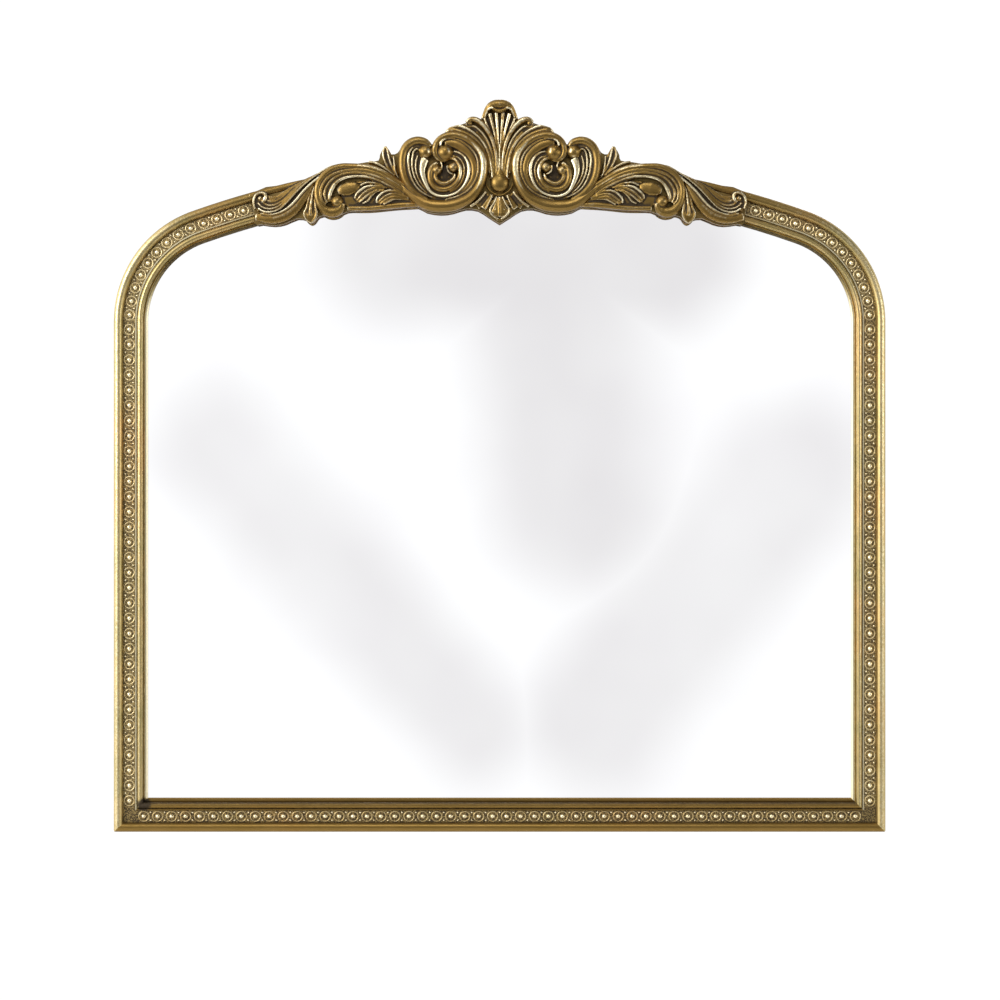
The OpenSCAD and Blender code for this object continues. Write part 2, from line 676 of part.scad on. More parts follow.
// Section of a carved line: a plain roll, or several ridges side by side
function roll_share(across) = sqrt(max(0, 1 - across * across));
function ridge_share(j, ridges, depth) =
    let (across = -1 + j / ridges)
    pow(max(0, 1 - across * across), 0.35) * (j % 2 == 0 ? 1 - depth : 1);
valley = 0.35;

module carved_line(points, ridges = 1) {
    line = smooth(points);
    last = len(line) - 1;
    sides = ridges == 1 ? 6 : 2 * ridges;
    ring = sides + 1;
    shape = [for (i = [0:last]) for (j = [0:sides])
        let (across = ridges == 1 ? -cos(180 * j / sides) : -1 + j / ridges)
        let (depth = valley * min(1, i, last - i))
        let (share = ridges == 1 ? roll_share(across) : ridge_share(j, ridges, depth))
        concat(beside(line, i, across), line[i][3] * (j == 0 || j == sides ? 0 : share))];
    walls = [for (i = [0:last - 1]) for (j = [0:sides])
        let (k = (j + 1) % ring)
        each [[i * ring + j, i * ring + k, (i + 1) * ring + k],
            [i * ring + j, (i + 1) * ring + k, (i + 1) * ring + j]]];
    ends = [[for (j = [sides:-1:0]) j], [for (j = [0:sides]) last * ring + j]];
    polyhedron(points = shape, faces = concat(walls, ends), convexity = 6);
}
// The place that a carved line takes on its board, with the gap round it
module line_room(points) {
    line = smooth(points);
    last = len(line) - 1;
    offset(delta = carving_gap)
        for (i = [0:last - 1])
            polygon([beside(line, i, -1), beside(line, i, 1), beside(line, i + 1, 1),
                beside(line, i + 1, -1)]);
}
module carved_ball(b)
    translate(lifted(b))
        rotate_extrude($fn = 18)
            polygon(concat([[0, 0]], [for (a = [0:22.5:90]) [b[2] / 2 * cos(a), b[3] * sin(a)]]));
module ball_room(b) translate(lifted(b)) circle(r = b[2] / 2 + carving_gap, $fn = 36);

// A piece of carving on its board, brought to its full relief
module relief(rise) translate([0, 0, board_front]) resize([0, 0, rise]) children();
module cut_round() translate([0, 0, -1]) linear_extrude(front) children();

module palmette_room() {
    line_room(fan_line);
    line_room(hood_line);
    ball_room(boss);
}
module plume_room() {
    line_room(plume_inner);
    line_room(plume_outer);
}
module scroll_room() {
    for (line = [scroll_rim, scroll_lobe, scroll_twin, scroll_core]) line_room(line);
    for (b = scroll_balls) ball_room(b);
}
module wing_room() {
    for (line = [wing_band, wing_curl, wing_leaf, root_leaf]) line_room(line);
    for (b = wing_balls) ball_room(b);
}
module tail_room() {
    line_room(tail_band);
    line_room(tail_belly);
}

module palmette() color(gilt) stand() relief(palmette_rise) {
    carved_line(fan_line, 5);
    carved_line(hood_line);
    carved_ball(boss);
}

module plume(side) color(gilt) stand() flip(side) relief(plume_rise)
    difference() {
        union() {
            carved_line(plume_inner, 2);
            carved_line(plume_outer, 2);
        }
        cut_round() palmette_room();
    }
module plume_left() plume(-1);
module plume_right() plume(1);

module scroll(side) color(gilt) stand() flip(side) relief(scroll_rise)
    difference() {
        union() {
            carved_line(scroll_rim);
            carved_line(scroll_lobe);
            carved_line(scroll_twin, 2);
            carved_line(scroll_core);
            for (b = scroll_balls) carved_ball(b);
        }
        cut_round() {
            plume_room();
            palmette_room();
        }
    }
module scroll_left() scroll(-1);
module scroll_right() scroll(1);

module wing(side) color(gilt) stand() flip(side) relief(wing_rise)
    difference() {
        union() {
            carved_line(wing_band, 3);
            carved_line(wing_curl);
            carved_line(wing_leaf, 3);
            carved_line(root_leaf, 2);
            for (b = wing_balls) carved_ball(b);
        }
        cut_round() scroll_room();
    }
module wing_left() wing(-1);
module wing_right() wing(1);

module tail_leaf(side) color(gilt) stand() flip(side) relief(tail_rise)
    difference() {
        union() {
            carved_line(tail_band, 3);
            carved_line(tail_belly);
            for (b = tail_balls) carved_ball(b);
        }
        cut_round() wing_room();
    }
module tail_leaf_left() tail_leaf(-1);
module tail_leaf_right() tail_leaf(1);

module tongue_leaf(side) color(gilt) stand() flip(side) relief(tongue_rise)
    difference() {
        carved_line(tongue_line, 3);
        cut_round() {
            wing_room();
            tail_room();
        }
    }
module tongue_leaf_left() tongue_leaf(-1);
module tongue_leaf_right() tongue_leaf(1);

module sprig(side) color(gilt) stand() flip(side) relief(sprig_rise)
    difference() {
        union() {
            carved_line(sprig_tall, 2);
            carved_line(sprig_low, 2);
        }
        cut_round() {
            scroll_room();
            wing_room();
        }
    }
module sprig_left() sprig(-1);
module sprig_right() sprig(1);

module pendant_shell() color(gilt) stand() relief(shell_rise)
    difference() {
        union() {
            carved_line(shell_mid, 3);
            for (s = [-1, 1]) flip(s) {
                carved_line(shell_bar);
                carved_line(shell_edge);
            }
        }
        cut_round() {
            palmette_room();
            for (s = [-1, 1]) flip(s) {
                scroll_room();
                plume_room();
            }
        }
    }

board_line = smooth(board_edge);
module crest_board() color(dark_gilt) stand() translate([0, 0, landing])
    difference() {
        intersection() {
            linear_extrude(crest_board_t)
                polygon(concat([for (p = board_line) lifted(p)],
                    [for (i = [len(board_line) - 2:-1:1])
                        [-board_line[i][0], lifted(board_line[i])[1]]]));
            translate([carving_gap - crest_half, spring_h, -eps])
                cube([2 * (crest_half - carving_gap), 2 * arch_rise, front]);
        }
        for (a = crest_angles)
            place(on_arch(a, back_line))
                translate([0, 0, -eps]) cylinder(r = pilot_r, h = crest_screw_l - landing + pilot_end);
    }
module crest_screws() color(steel) stand()
    for (a = crest_angles) place(on_arch(a, back_line)) screw(crest_screw_l, 0);

bottom_rail();
left_stile();
right_stile();
left_shoulder();
right_shoulder();
arch_rail();
beading_bottom();
beading_left();
beading_right();
beading_shoulder_left();
beading_shoulder_right();
beading_arch_left();
beading_arch_right();
mirror_glass();
backing_board();
backing_clips();
clip_screws();
crest_board();
crest_screws();
palmette();
pendant_shell();
plume_left();
plume_right();
scroll_left();
scroll_right();
wing_left();
wing_right();
tail_leaf_left();
tail_leaf_right();
tongue_leaf_left();
tongue_leaf_right();
sprig_left();
sprig_right();
joint_dowels();
corner_braces();
brace_screws();
hanger_strap_left();
hanger_strap_right();
hanger_ring_left();
hanger_ring_right();
hanger_screws();
wall_pads();
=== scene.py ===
import math

import bpy
import numpy as np
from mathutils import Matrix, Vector


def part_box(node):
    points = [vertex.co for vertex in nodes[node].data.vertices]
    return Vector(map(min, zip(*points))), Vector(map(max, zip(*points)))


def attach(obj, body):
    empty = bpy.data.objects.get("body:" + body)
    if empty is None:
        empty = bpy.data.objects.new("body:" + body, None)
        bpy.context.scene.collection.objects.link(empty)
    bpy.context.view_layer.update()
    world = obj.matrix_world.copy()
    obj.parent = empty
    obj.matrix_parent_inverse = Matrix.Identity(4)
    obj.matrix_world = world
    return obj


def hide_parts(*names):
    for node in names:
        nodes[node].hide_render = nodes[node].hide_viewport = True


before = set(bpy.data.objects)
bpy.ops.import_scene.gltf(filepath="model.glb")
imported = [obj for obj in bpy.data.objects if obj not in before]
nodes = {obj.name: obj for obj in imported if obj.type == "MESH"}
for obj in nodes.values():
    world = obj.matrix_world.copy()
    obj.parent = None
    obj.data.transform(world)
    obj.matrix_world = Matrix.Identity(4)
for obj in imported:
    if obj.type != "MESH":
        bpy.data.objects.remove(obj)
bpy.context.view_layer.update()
mm = 0.001


def clearSelection():
    if bpy.context.object and bpy.context.object.mode != "OBJECT":
        bpy.ops.object.mode_set(mode="OBJECT")
    bpy.ops.object.select_all(action="DESELECT")


def pick(*objects):
    clearSelection()
    for thing in objects:
        thing.select_set(True)
    bpy.context.view_layer.objects.active = objects[0]
    return objects[0]


def joinAll(objects, name):
    pick(*objects)
    if len(objects) > 1:
        bpy.ops.object.join()
    joined = bpy.context.object
    joined.name = name
    joined.data.name = name
    return joined


def applyModifier(thing, kind, **settings):
    pick(thing)
    bpy.ops.object.modifier_add(type=kind)
    modifier = thing.modifiers[-1]
    for key, value in settings.items():
        setattr(modifier, key, value)
    bpy.ops.object.modifier_apply(modifier=modifier.name)


# Camera, as the photograph was taken: straight on, from well away
camera = {"lens": 100, "sensor": 36, "away": 3.603, "across": 0.0005, "height": 0.43}
bpy.ops.object.camera_add(location=(camera["across"], -camera["away"], camera["height"]),
                          rotation=(math.radians(90), 0, 0))
viewer = bpy.context.object
viewer.name = "camera"
viewer.data.lens = camera["lens"]
viewer.data.sensor_width = camera["sensor"]
bpy.context.scene.camera = viewer
print("camera placed")


# Shader helpers
def newMaterial(name):
    material = bpy.data.materials.new(name)
    material.use_nodes = True
    tree = material.node_tree
    tree.nodes.clear()
    shader = tree.nodes.new("ShaderNodeBsdfPrincipled")
    output = tree.nodes.new("ShaderNodeOutputMaterial")
    tree.links.new(shader.outputs["BSDF"], output.inputs["Surface"])
    return material, tree, shader


def newGroup(name, inputs, outputs):
    group = bpy.data.node_groups.new(name, "ShaderNodeTree")
    for label, kind, default in inputs:
        socket = group.interface.new_socket(label, in_out="INPUT", socket_type=kind)
        if default is not None:
            socket.default_value = default
    for label, kind in outputs:
        group.interface.new_socket(label, in_out="OUTPUT", socket_type=kind)
    return group, group.nodes.new("NodeGroupInput"), group.nodes.new("NodeGroupOutput")


def feed(tree, source, target):
    if isinstance(source, (int, float, tuple)):
        target.default_value = source
    else:
        tree.links.new(source, target)


def maths(tree, operation, *values):
    node = tree.nodes.new("ShaderNodeMath")
    node.operation = operation
    for value, socket in zip(values, node.inputs):
        feed(tree, value, socket)
    return node.outputs[0]


def blendColor(tree, share, first, second):
    node = tree.nodes.new("ShaderNodeMix")
    node.data_type = "RGBA"
    feed(tree, share, node.inputs["Factor"])
    feed(tree, first, node.inputs["A"])
    feed(tree, second, node.inputs["B"])
    return node.outputs["Result"]


def spread(tree, value, low, high, outLow=0.0, outHigh=1.0):
    node = tree.nodes.new("ShaderNodeMapRange")
    node.interpolation_type = "SMOOTHSTEP"
    for source, socket in zip((value, low, high, outLow, outHigh), node.inputs):
        feed(tree, source, socket)
    return node.outputs[0]


def noiseOf(tree, where, scale, detail=3.0, roughness=0.55, stretch=None):
    if stretch:
        mapping = tree.nodes.new("ShaderNodeMapping")
        mapping.inputs["Scale"].default_value = stretch
        tree.links.new(where, mapping.inputs["Vector"])
        where = mapping.outputs["Vector"]
    node = tree.nodes.new("ShaderNodeTexNoise")
    tree.links.new(where, node.inputs["Vector"])
    node.inputs["Scale"].default_value = scale
    node.inputs["Detail"].default_value = detail
    node.inputs["Roughness"].default_value = roughness
    return node.outputs[0]


def objectSpace(tree):
    return tree.nodes.new("ShaderNodeTexCoord").outputs["Object"]


def axesOf(tree, place):
    split = tree.nodes.new("ShaderNodeSeparateXYZ")
    tree.links.new(place, split.inputs[0])
    return split.outputs["X"], split.outputs["Y"], split.outputs["Z"]


def without(tree, share):
    # What is left of one when this share is gone
    return maths(tree, "SUBTRACT", 1.0, share)


def either(tree, share, first, second):
    # The first value where the share is one, the second where it is nothing
    return maths(tree, "ADD", maths(tree, "MULTIPLY", first, share),
                 maths(tree, "MULTIPLY", second, without(tree, share)))


def swing(tree, noise, reach):
    # Noise moved to both sides of nothing
    return maths(tree, "MULTIPLY", maths(tree, "SUBTRACT", noise, 0.5), reach)


def lengthOf(tree, first, second):
    squares = maths(tree, "ADD", maths(tree, "POWER", first, 2.0), maths(tree, "POWER", second, 2.0))
    return maths(tree, "SQRT", squares)


def bumpFrom(tree, height, strength, distance, shader):
    bump = tree.nodes.new("ShaderNodeBump")
    bump.inputs["Strength"].default_value = strength
    bump.inputs["Distance"].default_value = distance
    tree.links.new(height, bump.inputs["Height"])
    tree.links.new(bump.outputs["Normal"], shader.inputs["Normal"])


def sRgb(red, green, blue):
    # A color given from 0 to 255, in the linear values that the shader takes
    shares = [value / 255 for value in (red, green, blue)]
    linear = [((share + 0.055) / 1.055) ** 2.4 if share > 0.04 else share / 12.92 for share in shares]
    return (*linear, 1.0)


# The outer edge of the frame, and how wide its moulding is, in metres
outline = {"halfWidth": 0.5, "spring": 0.661, "shoulder": 0.152, "crown": 0.873, "moulding": 0.043}
shoulderX = outline["halfWidth"] - outline["shoulder"]
riseH = outline["crown"] - outline["spring"]
archR = (shoulderX ** 2 + riseH ** 2 - outline["shoulder"] ** 2) / (2 * (riseH - outline["shoulder"]))
archY = outline["crown"] - archR
archSlope = shoulderX / (outline["spring"] - archY)


def frameSection():
    # Distance from the frame's outer edge to any point on it, in millimetres
    group, given, result = newGroup("frameSection", [("Place", "NodeSocketVector", None)],
                                    [("Across", "NodeSocketFloat")])
    sideways, _, up = axesOf(group, given.outputs["Place"])
    side = maths(group, "ABSOLUTE", sideways)
    straight = maths(group, "MINIMUM", maths(group, "SUBTRACT", outline["halfWidth"], side), up)

    def inside(radius, centreX, centreZ):
        dx = maths(group, "SUBTRACT", side, centreX)
        dz = maths(group, "SUBTRACT", up, centreZ)
        return maths(group, "SUBTRACT", radius, lengthOf(group, dx, dz))

    turn = inside(outline["shoulder"], shoulderX, outline["spring"])
    arch = inside(archR, 0.0, archY)
    slope = maths(group, "DIVIDE", side, maths(group, "SUBTRACT", up, archY))
    curved = either(group, maths(group, "GREATER_THAN", slope, archSlope), turn, arch)
    across = either(group, maths(group, "GREATER_THAN", up, outline["spring"]), curved, straight)
    group.links.new(maths(group, "MULTIPLY", across, 1 / mm), result.inputs["Across"])
    return group


# The rubbed tone is near white: worn leaf that is also a painted highlight. The wash tone is real wash that
# is also a painted shade.
leafTones = {"mid": sRgb(192, 168, 114), "olive": sRgb(156, 144, 92), "warm": sRgb(196, 156, 98),
             "bronze": sRgb(123, 93, 38), "rubbedAndHighlit": sRgb(250, 238, 200), "washAndShade": sRgb(50, 37, 15),
             "red": sRgb(104, 66, 28), "sawn": sRgb(176, 142, 102), "stain": sRgb(132, 98, 64)}
# Bare wood: how close the grain lies along each axis, and where the upright pieces begin
woodGrain = {"level": (26, 80, 620), "upright": (620, 80, 26), "stiles": (0.455, 0.457)}


def agedGilding():
    # Gold leaf rubbed back on what stands proud, with a brown wash left in the hollows. The pale rubbed leaf
    # is also a painted highlight, and the brown wash also a painted shade, wherever the masks fed in carry
    # them.
    group, given, result = newGroup(
        "agedGilding",
        [("Place", "NodeSocketVector", None), ("RubbedAndHighlit", "NodeSocketFloat", 0.0),
         ("WashAndShade", "NodeSocketFloat", 0.0), ("Red", "NodeSocketFloat", 0.0), ("Olive", "NodeSocketFloat", 0.5),
         ("Bronze", "NodeSocketFloat", 0.0), ("Bare", "NodeSocketFloat", 0.0)],
        [("Color", "NodeSocketColor"), ("Roughness", "NodeSocketFloat"), ("Metallic", "NodeSocketFloat"),
         ("Height", "NodeSocketFloat")])
    place = given.outputs["Place"]
    cloudy = noiseOf(group, place, 28.0, 4.0)
    patchy = noiseOf(group, place, 9.0, 2.0)
    grain = noiseOf(group, place, 900.0, 3.0, 0.6)
    specks = noiseOf(group, place, 420.0, 4.0, 0.7)
    tone = blendColor(group, spread(group, maths(group, "ADD", cloudy, given.outputs["Olive"]), 0.75, 1.35),
                      leafTones["mid"], leafTones["olive"])
    tone = blendColor(group, spread(group, patchy, 0.48, 0.7, 0.0, 0.55), tone, leafTones["warm"])
    tone = blendColor(group, given.outputs["Bronze"], tone, leafTones["bronze"])
    rubbedAndHighlit = maths(group, "ADD", given.outputs["RubbedAndHighlit"], swing(group, specks, 0.8))
    rubbedAndHighlit = spread(group, rubbedAndHighlit, 0.3, 0.95)
    tone = blendColor(group, rubbedAndHighlit, tone, leafTones["rubbedAndHighlit"])
    red = maths(group, "ADD", given.outputs["Red"], swing(group, cloudy, 0.6))
    tone = blendColor(group, spread(group, red, 0.35, 0.9), tone, leafTones["red"])
    # The wash mask carries painted shade as well as real wash, from what the caller feeds in
    washAndShade = maths(group, "ADD", given.outputs["WashAndShade"], swing(group, specks, 0.5))
    washAndShade = spread(group, washAndShade, 0.25, 0.95)
    tone = blendColor(group, washAndShade, tone, leafTones["washAndShade"])
    # The back was never gilded: sawn wood with a thin brown stain
    bare = given.outputs["Bare"]
    sideways, _, _ = axesOf(group, place)
    upright = spread(group, maths(group, "ABSOLUTE", sideways), *woodGrain["stiles"])
    sawn = either(group, upright, noiseOf(group, place, 1.0, 5.0, 0.6, woodGrain["upright"]),
                  noiseOf(group, place, 1.0, 5.0, 0.6, woodGrain["level"]))
    wood = blendColor(group, spread(group, sawn, 0.35, 0.65), leafTones["sawn"], leafTones["stain"])
    wood = blendColor(group, spread(group, patchy, 0.4, 0.75, 0.0, 0.6), wood, leafTones["stain"])
    group.links.new(blendColor(group, bare, tone, wood), result.inputs["Color"])
    roughness = maths(group, "ADD", 0.3, maths(group, "MULTIPLY", grain, 0.16))
    roughness = maths(group, "ADD", roughness, maths(group, "MULTIPLY", washAndShade, 0.25))
    roughness = maths(group, "SUBTRACT", roughness, maths(group, "MULTIPLY", rubbedAndHighlit, 0.06))
    roughness = maths(group, "ADD", roughness, maths(group, "MULTIPLY", bare, 0.35))
    group.links.new(roughness, result.inputs["Roughness"])
    metallic = maths(group, "SUBTRACT", 0.95, maths(group, "MULTIPLY", washAndShade, 0.55))
    group.links.new(maths(group, "MULTIPLY", metallic, without(group, bare)), result.inputs["Metallic"])
    height = maths(group, "ADD", maths(group, "MULTIPLY", grain, 0.4), cloudy)
    group.links.new(height, result.inputs["Height"])
    return group


sectionGroup = frameSection()
gildingGroup = agedGilding()


def gildedWith(tree, shader, place, rubbedAndHighlit, washAndShade, red, olive, bump=0.15, depth=0.0006, bronze=0.0, bare=0.0):
    node = tree.nodes.new("ShaderNodeGroup")
    node.node_tree = gildingGroup
    tree.links.new(place, node.inputs["Place"])
    given = {"RubbedAndHighlit": rubbedAndHighlit, "WashAndShade": washAndShade, "Red": red, "Olive": olive, "Bronze": bronze, "Bare": bare}
    for label, value in given.items():
        feed(tree, value, node.inputs[label])
    for label, socket in (("Color", "Base Color"), ("Roughness", "Roughness"), ("Metallic", "Metallic")):
        tree.links.new(node.outputs[label], shader.inputs[socket])
    bumpFrom(tree, node.outputs["Height"], bump, depth, shader)


def maskOver(tree, across, points):
    # A mask over the section: each point is a distance from the outer edge, in millimetres, and a strength
    width = outline["moulding"] / mm
    ramp = tree.nodes.new("ShaderNodeValToRGB")
    ramp.color_ramp.interpolation = "LINEAR"
    stops = ramp.color_ramp.elements
    while len(stops) < len(points):
        stops.new(0.5)
    for stop, (at, strength) in zip(stops, points):
        stop.position = at / width
        stop.color = (strength, strength, strength, 1.0)
    tree.links.new(maths(tree, "DIVIDE", across, width), ramp.inputs[0])
    return ramp.outputs["Color"]


# Moulding: the wash lies beside the rolls, and their tops are rubbed bright. The bands' lightness is also
# painted light: the lip, which faces into shade, gets pale leaf as a painted highlight, and the dark lines in
# the grooves are partly painted shade.
mouldingWearAndLight = {
    "rubbedAndHighlit": [(0, 0.25), (3, 0.5), (6, 0.55), (9, 0.35), (10.6, 0.1), (12, 0.4), (26.6, 0.95), (28.6, 0.8),
               (29.8, 0.4), (31.2, 0.35), (33.5, 0.5), (36, 0.25), (38.2, 0.2), (39.6, 0.85), (41.5, 1.0),
               (43, 1.0)],
    "washAndShade": [(0, 0.15), (1.5, 0.0), (9, 0.0), (10.4, 0.2), (11.2, 0.25), (12.4, 0.15), (26, 0.1),
             (27.6, 0.05), (29.4, 0.1), (30.3, 0.7), (31.3, 0.1), (34.6, 0.15), (36.6, 0.5), (38.2, 0.45),
             (39.2, 0.1), (41.5, 0.0), (43, 0.05)],
    "red": [(0, 0.0), (8.4, 0.1), (10.4, 0.4), (11.6, 0.3), (13, 0.15), (30, 0.2), (36, 0.1), (37.4, 0.35),
            (39.5, 0.15), (43, 0.1)],
}
# Where the wear and the painted shade change: in metres, and for the ridges and the lip in millimetres from
# the outer edge
mouldingChanges = {"mitre": (0.4985, 0.5005), "arch": (0.76, 0.83), "back": (0.0146, 0.0158),
                   "ridges": (30.4, 31.4), "ridgesRise": (0.7, 0.78),
                   "lip": (39.2, 40.2), "lipRise": (0.66, 0.74),
                   "smudgeX": -0.4615, "smudgeZ": 0.0345, "smudge": (0.003, 0.012)}


def mouldingMaterial():
    material, tree, shader = newMaterial("gildedMoulding")
    changes = mouldingChanges
    place = objectSpace(tree)
    section = tree.nodes.new("ShaderNodeGroup")
    section.node_tree = sectionGroup
    tree.links.new(place, section.inputs["Place"])
    wobble = swing(tree, noiseOf(tree, place, 60.0, 2.0), 1.2)
    across = maths(tree, "ADD", section.outputs["Across"], wobble)
    masks = {name: maskOver(tree, across, points) for name, points in mouldingWearAndLight.items()}
    x, y, z = axesOf(tree, place)
    # Painted shade: the bottom rail is made browner and less rubbed than the rest, and the arch darker and
    # less rubbed towards its top
    mitre = maths(tree, "ADD", maths(tree, "ABSOLUTE", x), z)
    paintedBottomShade = spread(tree, mitre, *changes["mitre"], 1.0, 0.0)
    rubbedAndHighlit = maths(tree, "MULTIPLY", masks["rubbedAndHighlit"], spread(tree, mitre, *changes["mitre"], 0.2, 1.0))
    rubbedAndHighlit = maths(tree, "MULTIPLY", rubbedAndHighlit, spread(tree, z, *changes["arch"], 1.0, 0.5))
    # Along the arch the inner ridges and the lip are dull and brown
    ridges = maths(tree, "MULTIPLY", spread(tree, across, *changes["ridges"]),
                   spread(tree, z, *changes["ridgesRise"]))
    lip = maths(tree, "MULTIPLY", spread(tree, across, *changes["lip"]), spread(tree, z, *changes["lipRise"]))
    rubbedAndHighlit = maths(tree, "MULTIPLY", rubbedAndHighlit, without(tree, maths(tree, "MULTIPLY", ridges, 0.65)))
    rubbedAndHighlit = maths(tree, "MULTIPLY", rubbedAndHighlit, without(tree, lip))
    washAndShade = maths(tree, "MULTIPLY", masks["washAndShade"], without(tree, maths(tree, "MULTIPLY", ridges, 0.5)))
    washAndShade = maths(tree, "ADD", washAndShade, maths(tree, "MULTIPLY", lip, 0.75))
    washAndShade = maths(tree, "ADD", washAndShade, maths(tree, "MULTIPLY", paintedBottomShade, 0.22))
    # Dirt that has gathered in the lower left corner by the glass
    aside = maths(tree, "SUBTRACT", x, changes["smudgeX"])
    above = maths(tree, "SUBTRACT", z, changes["smudgeZ"])
    away = maths(tree, "ADD", lengthOf(tree, aside, above), swing(tree, noiseOf(tree, place, 150.0), 0.008))
    smudge = spread(tree, away, *changes["smudge"], 1.0, 0.0)
    washAndShade = maths(tree, "ADD", washAndShade, smudge)
    rubbedAndHighlit = maths(tree, "MULTIPLY", rubbedAndHighlit, without(tree, smudge))
    # Painted shade: browner bronze along the bottom rail and up the arch
    bronze = maths(tree, "MAXIMUM", maths(tree, "MULTIPLY", paintedBottomShade, 0.85),
                   spread(tree, z, *changes["arch"], 0.0, 0.75))
    bare = spread(tree, y, *changes["back"])
    gildedWith(tree, shader, place, rubbedAndHighlit, washAndShade, masks["red"], 0.5, bronze=bronze, bare=bare)
    return material


# Pressed beading: the ground is dark, and rings and balls are bright on top
beadingWearAndShade = {"ground": 0.25, "bottomStrip": (0.03, 0.045)}


def beadingMaterial():
    material, tree, shader = newMaterial("gildedBeading")
    place = objectSpace(tree)
    _, y, z = axesOf(tree, place)
    # How far each point stands in front of the ground, in millimetres
    high = maths(tree, "SUBTRACT", maths(tree, "MULTIPLY", y, -1 / mm), beadingWearAndShade["ground"])
    # Painted shade: the strip along the bottom is made browner and less rubbed, as the rail is
    paintedBottomShade = spread(tree, z, *beadingWearAndShade["bottomStrip"], 1.0, 0.0)
    rubbedAndHighlit = maths(tree, "MULTIPLY", spread(tree, high, 0.1, 0.9, 0.1, 0.9),
                   spread(tree, z, *beadingWearAndShade["bottomStrip"], 0.8, 1.0))
    washAndShade = maths(tree, "ADD", spread(tree, high, 0.02, 0.6, 0.8, 0.0), maths(tree, "MULTIPLY", paintedBottomShade, 0.05))
    stipple = noiseOf(tree, place, 600.0, 2.0)
    washAndShade = maths(tree, "SUBTRACT", washAndShade, maths(tree, "MULTIPLY", spread(tree, stipple, 0.48, 0.62), 0.75))
    bronze = maths(tree, "MULTIPLY", paintedBottomShade, 0.35)
    gildedWith(tree, shader, place, rubbedAndHighlit, washAndShade, 0.15, 0.3, 0.3, 0.0008, bronze)
    return material


# Carving: masks are worked out from the shape of each piece when it is finished, then painted highlights and
# painted shade are laid on along given lines
def carvingMaterial():
    material, tree, shader = newMaterial("gildedCarving")
    place = objectSpace(tree)
    hollowAndShade = tree.nodes.new("ShaderNodeAttribute")
    hollowAndShade.attribute_name = "hollowAndShade"
    proudAndHighlit = tree.nodes.new("ShaderNodeAttribute")
    proudAndHighlit.attribute_name = "proudAndHighlit"
    red = spread(tree, hollowAndShade.outputs["Fac"], 0.15, 0.5, 0.0, 0.35)
    gildedWith(tree, shader, place, proudAndHighlit.outputs["Fac"], hollowAndShade.outputs["Fac"], red, 0.45, 0.2, 0.0006, 0.82)
    return material


def boardMaterial():
    material, tree, shader = newMaterial("gildedBoard")
    place = objectSpace(tree)
    _, y, _ = axesOf(tree, place)
    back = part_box("crest_board")[1].y
    bare = spread(tree, y, back - 0.0012, back - 0.0004)
    gildedWith(tree, shader, place, 0.0, 0.5, 0.15, 0.7, bronze=0.6, bare=bare)
    return material


# Silvered glass: flat and clear, with a very faint cloud in the silvering
def glassMaterial():
    material, tree, shader = newMaterial("silveredGlass")
    place = objectSpace(tree)
    cloud = noiseOf(tree, place, 5.0, 2.0)
    tone = blendColor(tree, spread(tree, cloud, 0.35, 0.7), (0.93, 0.935, 0.945, 1.0), (0.9, 0.9, 0.915, 1.0))
    tree.links.new(tone, shader.inputs["Base Color"])
    shader.inputs["Metallic"].default_value = 1.0
    shader.inputs["Roughness"].default_value = 0.0
    return material


def boardBackMaterial():
    material, tree, shader = newMaterial("brownHardboard")
    place = objectSpace(tree)
    fibre = noiseOf(tree, place, 260.0, 5.0, 0.7)
    mottled = noiseOf(tree, place, 14.0, 3.0)
    tone = blendColor(tree, fibre, sRgb(96, 66, 42), sRgb(142, 104, 70))
    tone = blendColor(tree, spread(tree, mottled, 0.4, 0.75, 0.0, 0.5), tone, sRgb(84, 56, 36))
    tree.links.new(tone, shader.inputs["Base Color"])
    tree.links.new(spread(tree, fibre, 0.2, 0.8, 0.55, 0.8), shader.inputs["Roughness"])
    bumpFrom(tree, fibre, 0.35, 0.0004, shader)
    return material


def zincMaterial():
    material, tree, shader = newMaterial("zincPlate")
    place = objectSpace(tree)
    mottled = noiseOf(tree, place, 90.0, 3.0)
    scratches = noiseOf(tree, place, 300.0, 3.0, 0.6, (1.0, 1.0, 0.12))
    tone = blendColor(tree, mottled, (0.58, 0.6, 0.62, 1.0), (0.72, 0.72, 0.7, 1.0))
    tree.links.new(tone, shader.inputs["Base Color"])
    shader.inputs["Metallic"].default_value = 1.0
    tree.links.new(spread(tree, scratches, 0.3, 0.7, 0.26, 0.42), shader.inputs["Roughness"])
    bumpFrom(tree, scratches, 0.15, 0.0002, shader)
    return material


def feltMaterial():
    material, tree, shader = newMaterial("pressedFelt")
    place = objectSpace(tree)
    fibre = noiseOf(tree, place, 1400.0, 4.0, 0.7)
    tree.links.new(blendColor(tree, fibre, sRgb(40, 38, 36), sRgb(82, 78, 74)), shader.inputs["Base Color"])
    shader.inputs["Roughness"].default_value = 0.95
    shader.inputs["Sheen Weight"].default_value = 0.5
    bumpFrom(tree, fibre, 0.6, 0.0006, shader)
    return material


def beechMaterial():
    material, tree, shader = newMaterial("beechDowel")
    place = objectSpace(tree)
    grain = noiseOf(tree, place, 160.0, 4.0, 0.6, (1.0, 1.0, 0.2))
    tone = blendColor(tree, grain, sRgb(196, 158, 116), sRgb(222, 188, 148))
    tree.links.new(tone, shader.inputs["Base Color"])
    shader.inputs["Roughness"].default_value = 0.6
    bumpFrom(tree, grain, 0.2, 0.0003, shader)
    return material


